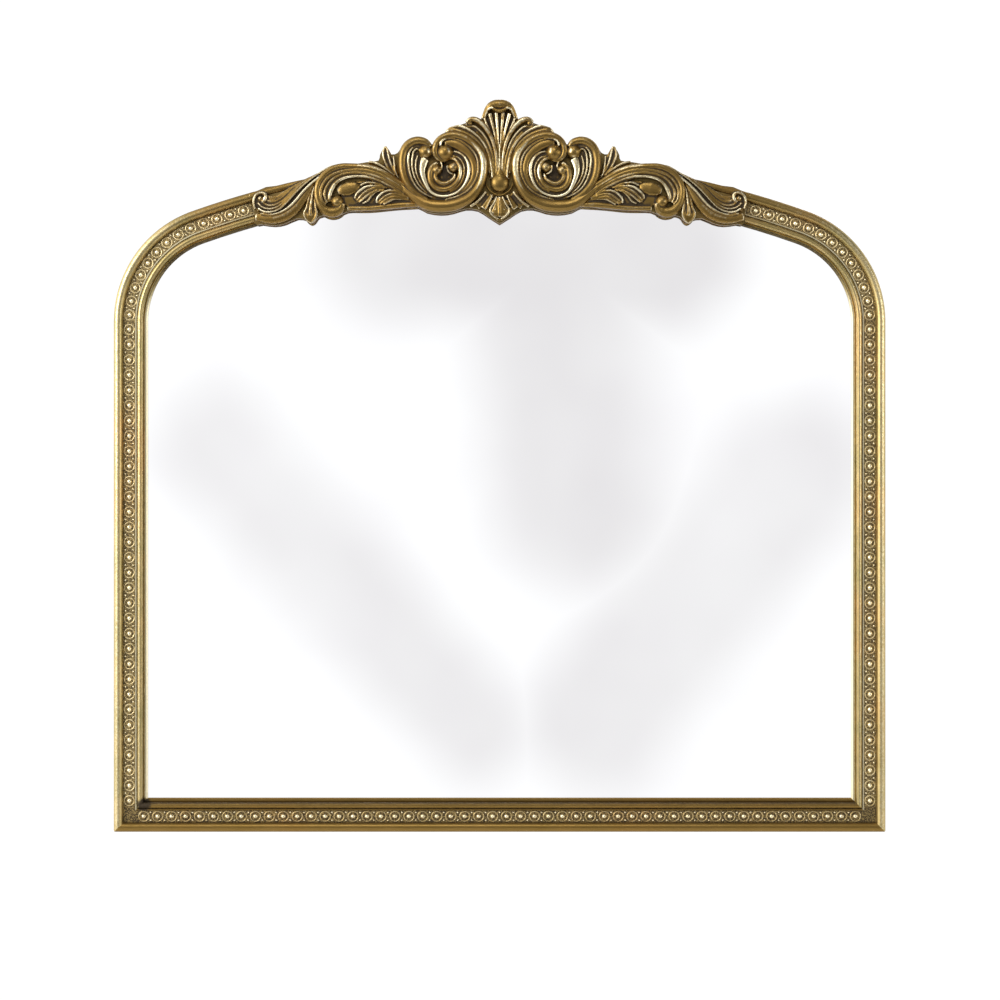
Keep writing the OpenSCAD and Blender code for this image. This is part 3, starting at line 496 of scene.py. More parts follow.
materials = {"moulding": mouldingMaterial(), "beading": beadingMaterial(), "carving": carvingMaterial(),
             "board": boardMaterial(), "glass": glassMaterial(), "hardboard": boardBackMaterial(),
             "zinc": zincMaterial(), "felt": feltMaterial(), "beech": beechMaterial()}
finishes = {
    "moulding": ["bottom_rail", "left_stile", "right_stile", "left_shoulder", "right_shoulder", "arch_rail"],
    "beading": ["beading_bottom", "beading_left", "beading_right", "beading_shoulder_left",
                "beading_shoulder_right", "beading_arch_left", "beading_arch_right"],
    "board": ["crest_board"], "glass": ["mirror_glass"], "hardboard": ["backing_board"],
    "zinc": ["backing_clips", "clip_screws", "crest_screws", "corner_braces", "brace_screws",
             "hanger_strap_left", "hanger_strap_right", "hanger_ring_left", "hanger_ring_right",
             "hanger_screws"],
    "felt": ["wall_pads"], "beech": ["joint_dowels"],
}
for finish, names in finishes.items():
    for name in names:
        for materialSlot in nodes[name].material_slots:
            materialSlot.material = materials[finish]
print("finishes given to the frame")

# Carving. Each line runs over stations of across, above the arch's edge, width and rise, in millimetres
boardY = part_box("crest_board")[0].y
carver = {"voxel": 0.7, "smoothing": 3, "weld": 0.01, "backOff": 0.05, "sunk": 1.5, "facing": 0.02,
          "middle": 0.5}
# Wear: rounds of averaging for fine and broad forms, then what fine, broad and low add to each mask; the low
# share darkens towards the board as painted shade
wear = {"fine": 8, "broad": 60, "deep": 7, "hollowAndShade": (4.5, 1.1, 0.5), "proudAndHighlit": (1.5, 0.35, 0.5),
        "brightest": 0.62}
brush = {"soft": 2.2, "thin": 1.5}


def onArch(across, above):
    x = across * mm
    return x, archY + math.sqrt(archR ** 2 - x ** 2) + above * mm


def pointsOf(mesh, what):
    values = np.empty(len(mesh.vertices) * 3)
    mesh.vertices.foreach_get(what, values)
    return values.reshape(-1, 3)


def seat(shape, flat):
    # Flattens a shape towards the board, then draws its back into the board, so nothing hangs in the air
    pick(shape)
    bpy.ops.object.mode_set(mode="EDIT")
    bpy.ops.mesh.select_all(action="SELECT")
    bpy.ops.mesh.remove_doubles(threshold=carver["weld"] * mm)
    bpy.ops.mesh.normals_make_consistent(inside=False)
    bpy.ops.transform.resize(value=(1, flat, 1), center_override=(0, boardY, 0))
    bpy.ops.object.mode_set(mode="OBJECT")
    spots, outward = pointsOf(shape.data, "co"), pointsOf(shape.data, "normal")
    facing = outward[:, 1] * (-1 if outward[spots[:, 1].argmin(), 1] > 0 else 1)
    spots[facing > carver["facing"], 1] = boardY + carver["sunk"] * mm
    shape.data.vertices.foreach_set("co", spots.ravel())
    shape.data.update()


def roll(line, crown=None):
    widest = max(station[2] for station in line)
    flat = 2 * crown / widest if crown else 1.0
    clearSelection()
    bpy.ops.curve.primitive_bezier_curve_add(location=(0, 0, 0))
    shape = bpy.context.object.data
    shape.splines[0].bezier_points.add(len(line) - 2)
    for point, (across, above, width, rise) in zip(shape.splines[0].bezier_points, line):
        x, z = onArch(across, above)
        point.co = (x, boardY - (rise - flat * width / 2) * mm / flat, z)
        point.radius = width * mm / 2
        point.handle_left_type = point.handle_right_type = "AUTO"
    shape.bevel_depth = 1
    shape.bevel_resolution = 5
    shape.resolution_u = 8
    shape.use_fill_caps = True
    bpy.ops.object.convert(target="MESH")
    seat(bpy.context.object, flat)
    return bpy.context.object


def ball(across, above, width, rise, crown=None):
    x, z = onArch(across, above)
    flat = min(1.0, 2 * (crown or rise) / width)
    clearSelection()
    bpy.ops.mesh.primitive_uv_sphere_add(segments=32, ring_count=16, radius=width * mm / 2,
                                         location=(x, boardY - (rise - flat * width / 2) * mm / flat, z))
    bpy.ops.object.transform_apply(location=True, rotation=True, scale=True)
    seat(bpy.context.object, flat)
    return bpy.context.object


def spreadOut(mesh, values, rounds):
    # Averages values with those of the neighbouring points
    count = len(mesh.vertices)
    edges = np.empty(len(mesh.edges) * 2, np.int64)
    mesh.edges.foreach_get("vertices", edges)
    a, b = edges[0::2], edges[1::2]
    shares = np.bincount(a, minlength=count) + np.bincount(b, minlength=count)
    for _ in range(rounds):
        total = np.stack([np.bincount(a, values[b, k], count) + np.bincount(b, values[a, k], count)
                          for k in range(values.shape[1])], axis=1)
        values = 0.5 * values + 0.5 * total / np.maximum(shares, 1)[:, None]
    return values


def wearMasks(piece):
    # Where the shape is hollow the wash stays, and where it stands proud the leaf is rubbed. The wash is also
    # painted shade in the recesses and deeper towards the board, and the pale rubbed leaf on thin ridges is
    # also a painted highlight.
    mesh = piece.data
    spots, outward = pointsOf(mesh, "co"), pointsOf(mesh, "normal")
    fine = spreadOut(mesh, spots, wear["fine"])
    broad = spreadOut(mesh, fine, wear["broad"])
    fineDip = ((fine - spots) * outward).sum(axis=1) / mm
    broadDip = ((broad - spots) * outward).sum(axis=1) / mm
    low = np.clip(1 - (boardY - spots[:, 1]) / (wear["deep"] * mm), 0, 1)
    fineShare, broadShare, lowShare = wear["hollowAndShade"]
    hollowAndShade = np.clip(fineDip * fineShare + broadDip * broadShare + low * lowShare, 0, 1)
    fineShare, broadShare, lowShare = wear["proudAndHighlit"]
    proudAndHighlit = np.clip(-fineDip * fineShare - broadDip * broadShare - low * lowShare, 0, wear["brightest"])
    for name, values in (("hollowAndShade", hollowAndShade), ("proudAndHighlit", proudAndHighlit)):
        values = spreadOut(mesh, values[:, None], 1)[:, 0]
        mask = mesh.attributes.new(name, "FLOAT", "POINT")
        mask.data.foreach_set("value", values.astype(np.float32))


def brushStroke(piece, mask, line, strength):
    mesh = piece.data
    spots = pointsOf(mesh, "co")[:, [0, 2]]
    reached = np.zeros(len(spots))
    for first, second in zip(line, line[1:]):
        start, end = np.array(onArch(*first[:2])), np.array(onArch(*second[:2]))
        along = np.clip((spots - start) @ (end - start) / ((end - start) @ (end - start)), 0, 1)
        away = np.linalg.norm(spots - start - along[:, None] * (end - start), axis=1) / mm
        half = (first[2] + along * (second[2] - first[2])) / 2
        covered = np.clip((half - away) / brush["soft"] + 0.5, 0, 1) * np.clip(half * brush["thin"], 0, 1)
        reached = np.maximum(reached, covered)
    values = np.empty(len(spots), np.float32)
    mesh.attributes[mask].data.foreach_get("value", values)
    values = np.clip(values + strength * reached, 0, 1).astype(np.float32)
    mesh.attributes[mask].data.foreach_set("value", values)


def touchUp(piece, mask, lines, strength):
    # Adds to a mask along each line: on the proud mask a painted highlight, on the hollow mask a painted
    # shade, laid on like brush strokes; a station is across, above and width
    for line in lines:
        brushStroke(piece, mask, line, strength)


def mirrored(line):
    return [(-station[0],) + tuple(station[1:]) for station in line]


def carve(name, rolls=(), bands=(), balls=(), both=False):
    # Rolls are round, and bands are nearly flat on top, with a crown of so many millimetres
    lines = [(line, None) for line in rolls] + list(bands)
    shapes = [roll(line, crown) for line, crown in lines] + [ball(*spot) for spot in balls]
    if both:
        offMiddle = [(line, crown) for line, crown in lines
                     if max(station[0] for station in line) > carver["middle"]]
        shapes += [roll(mirrored(line), crown) for line, crown in offMiddle]
    piece = joinAll(shapes, name)
    applyModifier(piece, "REMESH", mode="VOXEL", voxel_size=carver["voxel"] * mm)
    applyModifier(piece, "SMOOTH", factor=0.5, iterations=carver["smoothing"])
    pick(piece)
    bpy.ops.object.mode_set(mode="EDIT")
    bpy.ops.mesh.select_all(action="SELECT")
    bpy.ops.mesh.bisect(plane_co=(0, boardY - carver["backOff"] * mm, 0), plane_no=(0, 1, 0),
                        use_fill=True, clear_outer=True)
    bpy.ops.object.mode_set(mode="OBJECT")
    wearMasks(piece)
    bpy.ops.object.shade_smooth()
    piece.data.materials.clear()
    piece.data.materials.append(materials["carving"])
    return piece


def otherHand(piece, name):
    pick(piece)
    bpy.ops.object.duplicate()
    copy = bpy.context.object
    copy.name = name
    copy.data.name = name
    bpy.ops.object.mode_set(mode="EDIT")
    bpy.ops.mesh.select_all(action="SELECT")
    bpy.ops.transform.resize(value=(-1, 1, 1), center_override=(0, 0, 0))
    bpy.ops.mesh.normals_make_consistent(inside=False)
    bpy.ops.object.mode_set(mode="OBJECT")
    return copy


def settle(piece, node):
    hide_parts(node)
    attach(piece, "mirror")


def settlePair(right, pair):
    settle(right, pair + "_right")
    settle(otherHand(right, pair + "_left_carved"), pair + "_left")


scroll = {
    "rim": [(65, -0.6, 3.4, 8.4), (73, -1.6, 5.4, 10.4), (80, 2, 7.4, 12), (83.6, 9, 8.2, 13),
            (83.4, 16, 8.4, 13.8), (80, 22.6, 8.8, 14), (73.4, 27.8, 9, 14.5), (64.5, 30, 9.4, 14.5),
            (52, 28.5, 9.6, 14.5), (39.5, 22.5, 9.8, 14.5), (30, 14, 10.4, 14.5), (23.5, 5, 10.8, 14.8),
            (20.5, -7, 11, 15), (21, -21.5, 11, 15), (27, -38, 12, 15), (37, -50, 14, 14.6),
            (49, -56.5, 15.5, 14), (62.5, -60, 16.5, 13.5), (79, -60, 17, 13), (94, -56.5, 16, 12.4),
            (106, -49.5, 13.5, 11.6), (117, -40, 11, 10.6), (129, -29, 8.5, 9)],
    "edgeLine": [(60, 24.6, 1.6, 12), (53.5, 22.5, 2.4, 12.4), (44.5, 18, 2.6, 12.6), (35.5, 9.5, 2.8, 12.8),
                 (30, 1, 2.8, 12.8), (27.8, -9, 2.8, 12.8), (28.4, -20.5, 2.8, 12.8),
                 (32.4, -31.5, 2.8, 12.6), (39, -40.5, 2.6, 12.4), (47.5, -46.5, 2.4, 12),
                 (58, -50.4, 1.8, 11.4), (70, -52.6, 1, 10.6)],
    "cusp": [(76.5, 16.5, 2.4, 14.4), (75, 22, 3, 14.6), (71, 25, 2.8, 14.2), (65.5, 26, 2.4, 13.8),
             (58, 25, 2.2, 13)],
    "band": [(71, 20, 6, 11.4), (63.5, 20, 10, 12.2), (56, 18, 12, 12.4), (47, 12.5, 12, 12.4),
             (39.5, 5, 10, 12.2), (35, -4, 8, 12), (33, -14, 7, 11.8), (33.8, -24, 6.4, 11.6),
             (38.4, -34, 5.6, 11.4), (46, -41.5, 4.6, 11), (55, -47, 2, 9.8)],
    "crescent": [(59, 9, 2.2, 10), (50.5, 5.6, 3, 11), (43.8, -1, 3.8, 11.8), (40, -10, 4.8, 12.2),
                 (39.8, -19, 4.8, 12.2), (42.4, -29, 4.2, 12), (48, -38.4, 3.6, 11.6),
                 (57.5, -45.5, 3.4, 11.4), (70.5, -48.4, 3.6, 11.4), (83, -45.6, 4, 11.4),
                 (92, -37.6, 5, 11.6), (97, -26, 6, 12), (100, -13, 6.6, 12.2), (98.4, -3, 8, 11.8)],
    "crescentFace": [(92, -37.6, 4, 12), (97, -26, 5.6, 12.6), (99.8, -14, 7, 12.8), (98.6, -5, 9.4, 12.6),
                     (96.6, 0.4, 11, 12)],
    "thin": [(60, 3.4, 2, 9.6), (52, -0.6, 2.2, 10.2), (47, -8, 2.2, 10.6), (45.6, -17.5, 2.2, 10.6),
             (48, -28, 2.2, 10.4), (54.4, -37.5, 2.2, 10.4), (64, -42.6, 2.2, 10)],
    "core": [(64.5, 1, 3.6, 9.5), (57.5, -2, 4.6, 10.8), (52.4, -9, 5.4, 11.8), (50.8, -17.5, 5.6, 12.4),
             (52.8, -26.5, 6, 12.6), (58, -34, 6.6, 12.6), (65.5, -38.4, 7.2, 12.6), (73.5, -39.6, 7.6, 12.6),
             (81.5, -37, 7.8, 12.6), (87.4, -31, 8.2, 12.6), (90, -23, 8.4, 12.6), (89.4, -14.5, 8, 12.2),
             (86, -8, 6.6, 11.4), (80.5, -4.5, 4.4, 10.4)],
    "bowl": [(57.4, -20, 3.4, 9), (60, -26.4, 5, 10.6), (65.8, -30.6, 6, 11.4), (72.5, -32, 6.6, 11.6),
             (78.6, -29.4, 6.8, 11.4), (82.4, -24, 6.6, 11), (83.4, -18, 5, 10.6)],
    "sockets": [[(67.6, -8.6, 1.8, 10.6), (67.4, -14.4, 2.2, 11.6), (64.4, -18.6, 2.2, 11.6),
                 (60.8, -20.4, 1.8, 10.6)],
                [(76.4, -3.4, 1.8, 10.4), (74.4, -8.4, 2.2, 11.4), (75.2, -14, 1.8, 10.8)]],
    "lobe": [(90, 16.5, 7, 12), (94, 22, 9, 13.2), (100.6, 25.2, 10.4, 13.6), (108.5, 26, 11, 13.8),
             (116, 23.4, 11.4, 13.8), (122, 17.4, 11.4, 13.6), (125, 9.6, 11, 13.4), (126, -1, 10.6, 13.2),
             (124.6, -13.5, 10.2, 13), (120.4, -25.5, 10, 12.6), (113.6, -36, 9.6, 12), (104, -45, 8.4, 11),
             (93, -51, 5, 10)],
    "lobeLine": [(112, 17.6, 2.2, 12), (115.8, 13, 2.6, 12.4), (117.8, 5, 2.8, 12.4), (117.6, -5, 2.8, 12.2),
                 (115.6, -16, 2.8, 12), (111.2, -27.5, 2.6, 11.8), (104.6, -37, 2.4, 11.4),
                 (96.5, -43.6, 2, 11), (87, -49, 1, 10)],
    "lobeHook": [(101.5, 4.5, 2.2, 10.6), (103, 12, 2.6, 11.4), (106.6, 15, 2.6, 12), (110.2, 13, 2.6, 12),
                 (112.4, 6, 2.6, 11.8), (113.2, -3, 2.6, 11.6), (112, -13, 2.6, 11.4),
                 (107.8, -25, 2.4, 11.2), (101.6, -35, 2.2, 11), (93.5, -42.6, 1, 9.8)],
    "lobeThin": [(106, 7, 2.2, 10.4), (108.2, -2, 2.4, 10.8), (107.8, -13, 2.4, 10.8),
                 (104.2, -24, 2.2, 10.4), (98.5, -33.5, 2, 10), (91.5, -41.4, 1, 9)],
    "floor": [(62, 8, 12, 7), (50, -2, 16, 8.6), (45, -16, 16, 8.8), (48, -30, 16, 8.8), (60, -42, 15, 8.6),
              (78, -45, 14, 8.4), (95, -36, 15, 8.4), (106, -18, 18, 8.6), (108, 0, 16, 8.6),
              (106, 12, 10, 8)],
    "balls": [(70.6, 8.4, 23, 15.6), (96, 11.2, 20, 14.6), (60.2, -11.4, 13.8, 12.8), (81.2, -13.6, 14, 12.8),
              (70, -20, 30, 4.4)],
    "lobeFloor": [(103, 18, 8, 9.4), (111, 19.6, 8, 10.4), (117.6, 14.6, 8, 10.6), (120, 4, 7, 10.6),
                  (119.6, -8, 7, 10.4), (116.6, -20, 7, 10), (110.4, -32, 7, 9.8), (103, -41, 5, 9.4),
                  (97, -46, 3, 9)],
    "paintedHighlights": [[(38, 21, 0), (30.5, 12.5, 3), (23.5, 3, 6.4), (20.6, -7, 7.4), (21.4, -21, 6),
                (25.6, -34, 3), (32, -45, 0)],
               [(66, 12, 3), (65.4, 8, 2)], [(91.8, 13, 3), (91.2, 9.6, 2)], [(56.6, -9, 2), (58.6, -7, 2)],
               [(43.8, -1, 3), (40, -10, 4.8), (39.8, -19, 4.8), (42.4, -29, 4), (48, -38.4, 3),
                (57.5, -45.5, 2.6), (70.5, -48.4, 2.6), (83, -45.6, 3), (92, -37.6, 4.4), (97, -26, 5.6),
                (99.8, -14, 7), (96.8, 0, 11)],
               [(51, -10, 2.4), (49.4, -18, 3), (51.4, -27, 2.4)],
               [(78, 14, 2), (76, 21, 3), (71, 25, 2)],
               [(117, 14, 0), (119, 6, 2.4), (121, -2, 3), (119.6, -14, 3), (113, -30, 0)]],
    "dark": [[(69.6, -13, 5), (70.4, -21, 9), (70.6, -26, 6)], [(92, -3, 3), (94.6, -12, 3), (93.6, -24, 2)]],
}
scrollRight = carve(
    "scroll_right_carved",
    [scroll[key] for key in ("rim", "edgeLine", "cusp", "crescent", "thin", "core", "bowl", "lobe",
                             "lobeLine", "lobeHook", "lobeThin")] + scroll["sockets"],
    [(scroll["band"], 3.4), (scroll["crescentFace"], 2.4), (scroll["floor"], 1.4), (scroll["lobeFloor"],
                                                                                    1.6)],
    scroll["balls"])
# Painted highlights along the bright lines, painted shade along the dark ones
touchUp(scrollRight, "proudAndHighlit", scroll["paintedHighlights"], 0.4)
touchUp(scrollRight, "hollowAndShade", scroll["dark"], 0.8)
settlePair(scrollRight, "scroll")
print("scrolls carved")

palmette = {
    "hood": [(22.6, 50, 3.4, 8), (19.8, 55.4, 4.8, 9.8), (16.8, 61, 6.6, 12.6), (12.6, 65.4, 9, 15.2),
             (6.6, 67.6, 11.8, 16.4), (0, 67.8, 13, 16.8)],
    "lip": [(19, 51, 2.2, 10.5), (17.2, 57, 2.6, 12.5), (14.4, 61.6, 3, 15), (10.6, 63, 3.2, 16.2),
            (6, 60.6, 3.4, 16.6), (0, 58.8, 4.8, 16.8)],
    "ground": [(0, -24, 12, 6), (0, -2, 12, 6.6), (0, 18, 15, 7), (0, 34, 24, 7), (0, 48, 36, 7.4),
               (0, 60, 32, 8)],
    "flutes": [[(4.4, 57.5, 4.8, 11.4), (3.6, 46.5, 4.2, 11), (2.6, 34.5, 3.4, 10.6), (1.6, 20, 2, 9.6),
                (1, 9, 1, 7.6)],
               [(12.8, 56.5, 6, 11), (10, 45.5, 4.8, 10.8), (7, 33.5, 3.6, 10.4), (4.2, 19.5, 2, 9.4),
                (2.8, 11, 1, 7.4)],
               [(19.8, 51, 3, 9), (17, 43.5, 3.4, 9.6), (13, 34, 3, 9.6), (8.6, 24, 2.2, 9.2),
                (6, 17, 1.6, 8.6)]],
    "stem": [(0, 18, 1, 8.6), (0, 6, 1.8, 9.2), (0, -6, 2.8, 9.8), (0, -14, 5.4, 10.8), (0, -20, 11, 12),
             (0, -25.4, 18, 13.2), (0, -30, 22, 13.6)],
    "collar": [(17.4, -33.5, 1.8, 5.8), (14.4, -40, 2.2, 6.4), (8, -46, 2.4, 6.8), (0, -49, 2.6, 7)],
    "boss": [(0, -32.8, 24.4, 14.2, 7.4)],
    "paintedHighlights": [[(12.6, 55, 4), (9, 42, 3), (6, 30, 2)], [(-4.2, 56, 2), (-3, 40, 3), (-1, 20, 3), (0, 10, 2)],
               [(13, 62.6, 3), (10, 64, 3)], [(-13, 62.6, 3), (-10, 64, 3)]],
    "dark": [[(8.4, 54, 2), (6.6, 42, 2)], [(-8.4, 54, 2), (-6.6, 42, 2)], [(0, 54, 3), (0, 40, 2)]],
    "shadedStrokes": [[(18, -31, 5), (14.4, -40, 6), (8, -46, 6), (0, -49, 6), (-8, -46, 6), (-14.4, -40, 6),
              (-18, -31, 5)],
             [(-7, 60.4, 4), (0, 58, 6), (7, 60.4, 4)]],
}


def wholeOf(half):
    # A line given from the outside to the middle, carried on to the other side
    return half + mirrored(half[-2::-1])


palmettePiece = carve("palmette_carved", palmette["flutes"], [(palmette["ground"], 2.5)], both=True)
palmetteFront = carve("palmette_front", [wholeOf(palmette[key]) for key in ("hood", "lip", "collar")]
                      + [palmette["stem"]], (), palmette["boss"])
palmettePiece = joinAll([palmettePiece, palmetteFront], "palmette_carved")
# Painted highlights along the bright lines; the dull lines take the pale leaf off as painted shade, and the
# dark ones add painted shade
touchUp(palmettePiece, "proudAndHighlit", palmette["paintedHighlights"], 0.3)
touchUp(palmettePiece, "proudAndHighlit", palmette["shadedStrokes"], -0.6)
touchUp(palmettePiece, "hollowAndShade", palmette["dark"], 0.4)
settle(palmettePiece, "palmette")
print("palmette carved")

plume = {
    "first": [(43, 46, 4, 9.4), (38, 49.4, 6.4, 10.6), (30.6, 48.6, 7.8, 11.4), (22.6, 43, 8, 11.6),
              (15.6, 34, 7.2, 11.4), (10.4, 24.4, 6, 11), (6.8, 13, 4.8, 10.6), (4.6, 0.5, 4, 10.2),
              (3.8, -12.5, 3.4, 9.8), (3.4, -24, 2.8, 9)],
    "tip": [(43.6, 44, 3, 9.4), (41, 40.6, 3, 9.6), (35, 40.4, 3, 9.8)],
    "firstLine": [(40, 40, 2.4, 9.4), (33, 40, 3, 10), (25.5, 34.6, 3, 10.2), (18.4, 26, 3, 10.2),
                  (12.8, 14.5, 2.8, 10), (9.2, 2, 2.6, 9.6), (7.2, -12, 2.4, 9.4), (6.6, -25, 2, 8.6)],
    "thin": [(29.6, 33, 2, 9.4), (21.6, 24.6, 2.2, 9.6), (15.4, 13.6, 2.2, 9.6), (11.6, 2, 2, 9.4),
             (9.2, -11, 1.8, 9)],
    "second": [(66, 39.4, 1.6, 8.4), (60, 40.4, 2.6, 9.6), (52.5, 41, 4.2, 10.6), (44.5, 38.6, 4.6, 11),
               (36, 33.6, 4.4, 11.2), (27.4, 26.6, 4.2, 11.2), (20.4, 18, 4, 11), (15.2, 7.5, 3.8, 10.8),
               (12, -4, 3.4, 10.4), (10.2, -15.5, 3, 10), (9.4, -27, 2.6, 9)],
    "third": [(69.4, 34.4, 2.6, 7.6), (66.6, 36, 5.6, 9), (60.5, 36.4, 7, 10), (51, 34.4, 7, 10.4),
              (41.6, 30.4, 6.6, 10.4), (32, 24, 6, 10.2), (24, 15, 5, 10), (17.6, 4, 3.8, 9.6),
              (14.4, -8, 3, 9.2), (13, -20, 2.4, 8.6)],
    "ground": [(64, 36, 7, 6.6), (50, 36, 12, 7.4), (36, 35, 18, 8), (25, 24, 16, 8), (16, 7, 14, 7.6),
               (10.6, -10, 12, 7.4), (8.4, -27, 9, 6.4)],
    "balls": [(38.6, 44.4, 6.6, 9.2)],
    "paintedHighlights": [[(36, 48.6, 0), (29, 48.4, 4), (21, 42, 4), (14, 32, 2)], [(52, 41, 2), (40, 36, 2.4),
                                                                          (28, 27, 2.4), (18, 13, 2)],
               [(13, -2, 2), (11, -16, 3), (10, -28, 2)]],
    "dark": [[(19, 8, 2), (17, -4, 3), (16, -16, 3.4), (16, -28, 3.4)], [(44, 42.6, 3), (36, 41, 3)]],
}
plumeRight = carve(
    "plume_right_carved",
    [plume[key] for key in ("first", "tip", "firstLine", "thin", "second", "third")],
    [(plume["ground"], 2)],
    plume["balls"])
# Painted highlights along the bright lines, painted shade along the dark ones
touchUp(plumeRight, "proudAndHighlit", plume["paintedHighlights"], 0.25)
touchUp(plumeRight, "hollowAndShade", plume["dark"], 0.7)
settlePair(plumeRight, "plume")
print("plumes carved")

pendant = {
    "middle": [(0, -51, 3, 8.8), (0, -62, 4.4, 9.4), (0, -72, 5, 8.8), (0, -77, 3, 7.6)],
    "leafEdge": [(3.6, -50.5, 2.4, 8.4), (7.4, -59, 2.6, 8.8), (12.2, -69, 3, 8.6), (8, -75.4, 2.8, 7.8),
                 (1.6, -79.4, 2.4, 6.8)],
    "vein": [(2.4, -58, 1.8, 8.2), (6, -69, 2, 8)],
    "outerBar": [(17.6, -44, 3, 7.4), (22.4, -50.5, 3.6, 8), (29.6, -57.4, 4.4, 8), (38, -62.4, 4.4, 6.8)],
    "innerBar": [(10.6, -48, 3.4, 7.4), (14.8, -56, 5.6, 8.2), (21, -65.4, 7.6, 8)],
    "barLine": [(9.6, -49, 2, 8.6), (13, -57, 2.2, 9.4), (17.6, -66.6, 2.2, 9)],
    "ground": [(0, -49, 18, 4.6), (0, -60, 40, 5), (0, -70, 26, 5), (0, -81, 8, 4.4)],
    "leaf": [(0, -52, 8, 7.4), (0, -62, 15, 8.2), (0, -70, 23, 8.2), (0, -76.6, 12, 7.2)],
    "fan": [(14, -48, 7, 5), (22, -56, 12, 5.6), (30, -60, 14, 5.6)],
}
pendantPiece = carve(
    "pendant_shell_carved",
    [pendant[key] for key in ("vein", "leafEdge", "outerBar", "barLine")],
    [(pendant["innerBar"], 1.8), (pendant["fan"], 1.6)],
    both=True)
pendantMiddle = carve("pendant_middle", [pendant["middle"]], [(pendant["ground"], 2), (pendant["leaf"], 2)])
pendantPiece = joinAll([pendantPiece, pendantMiddle], "pendant_shell_carved")
settle(pendantPiece, "pendant_shell")
print("pendant shell carved")

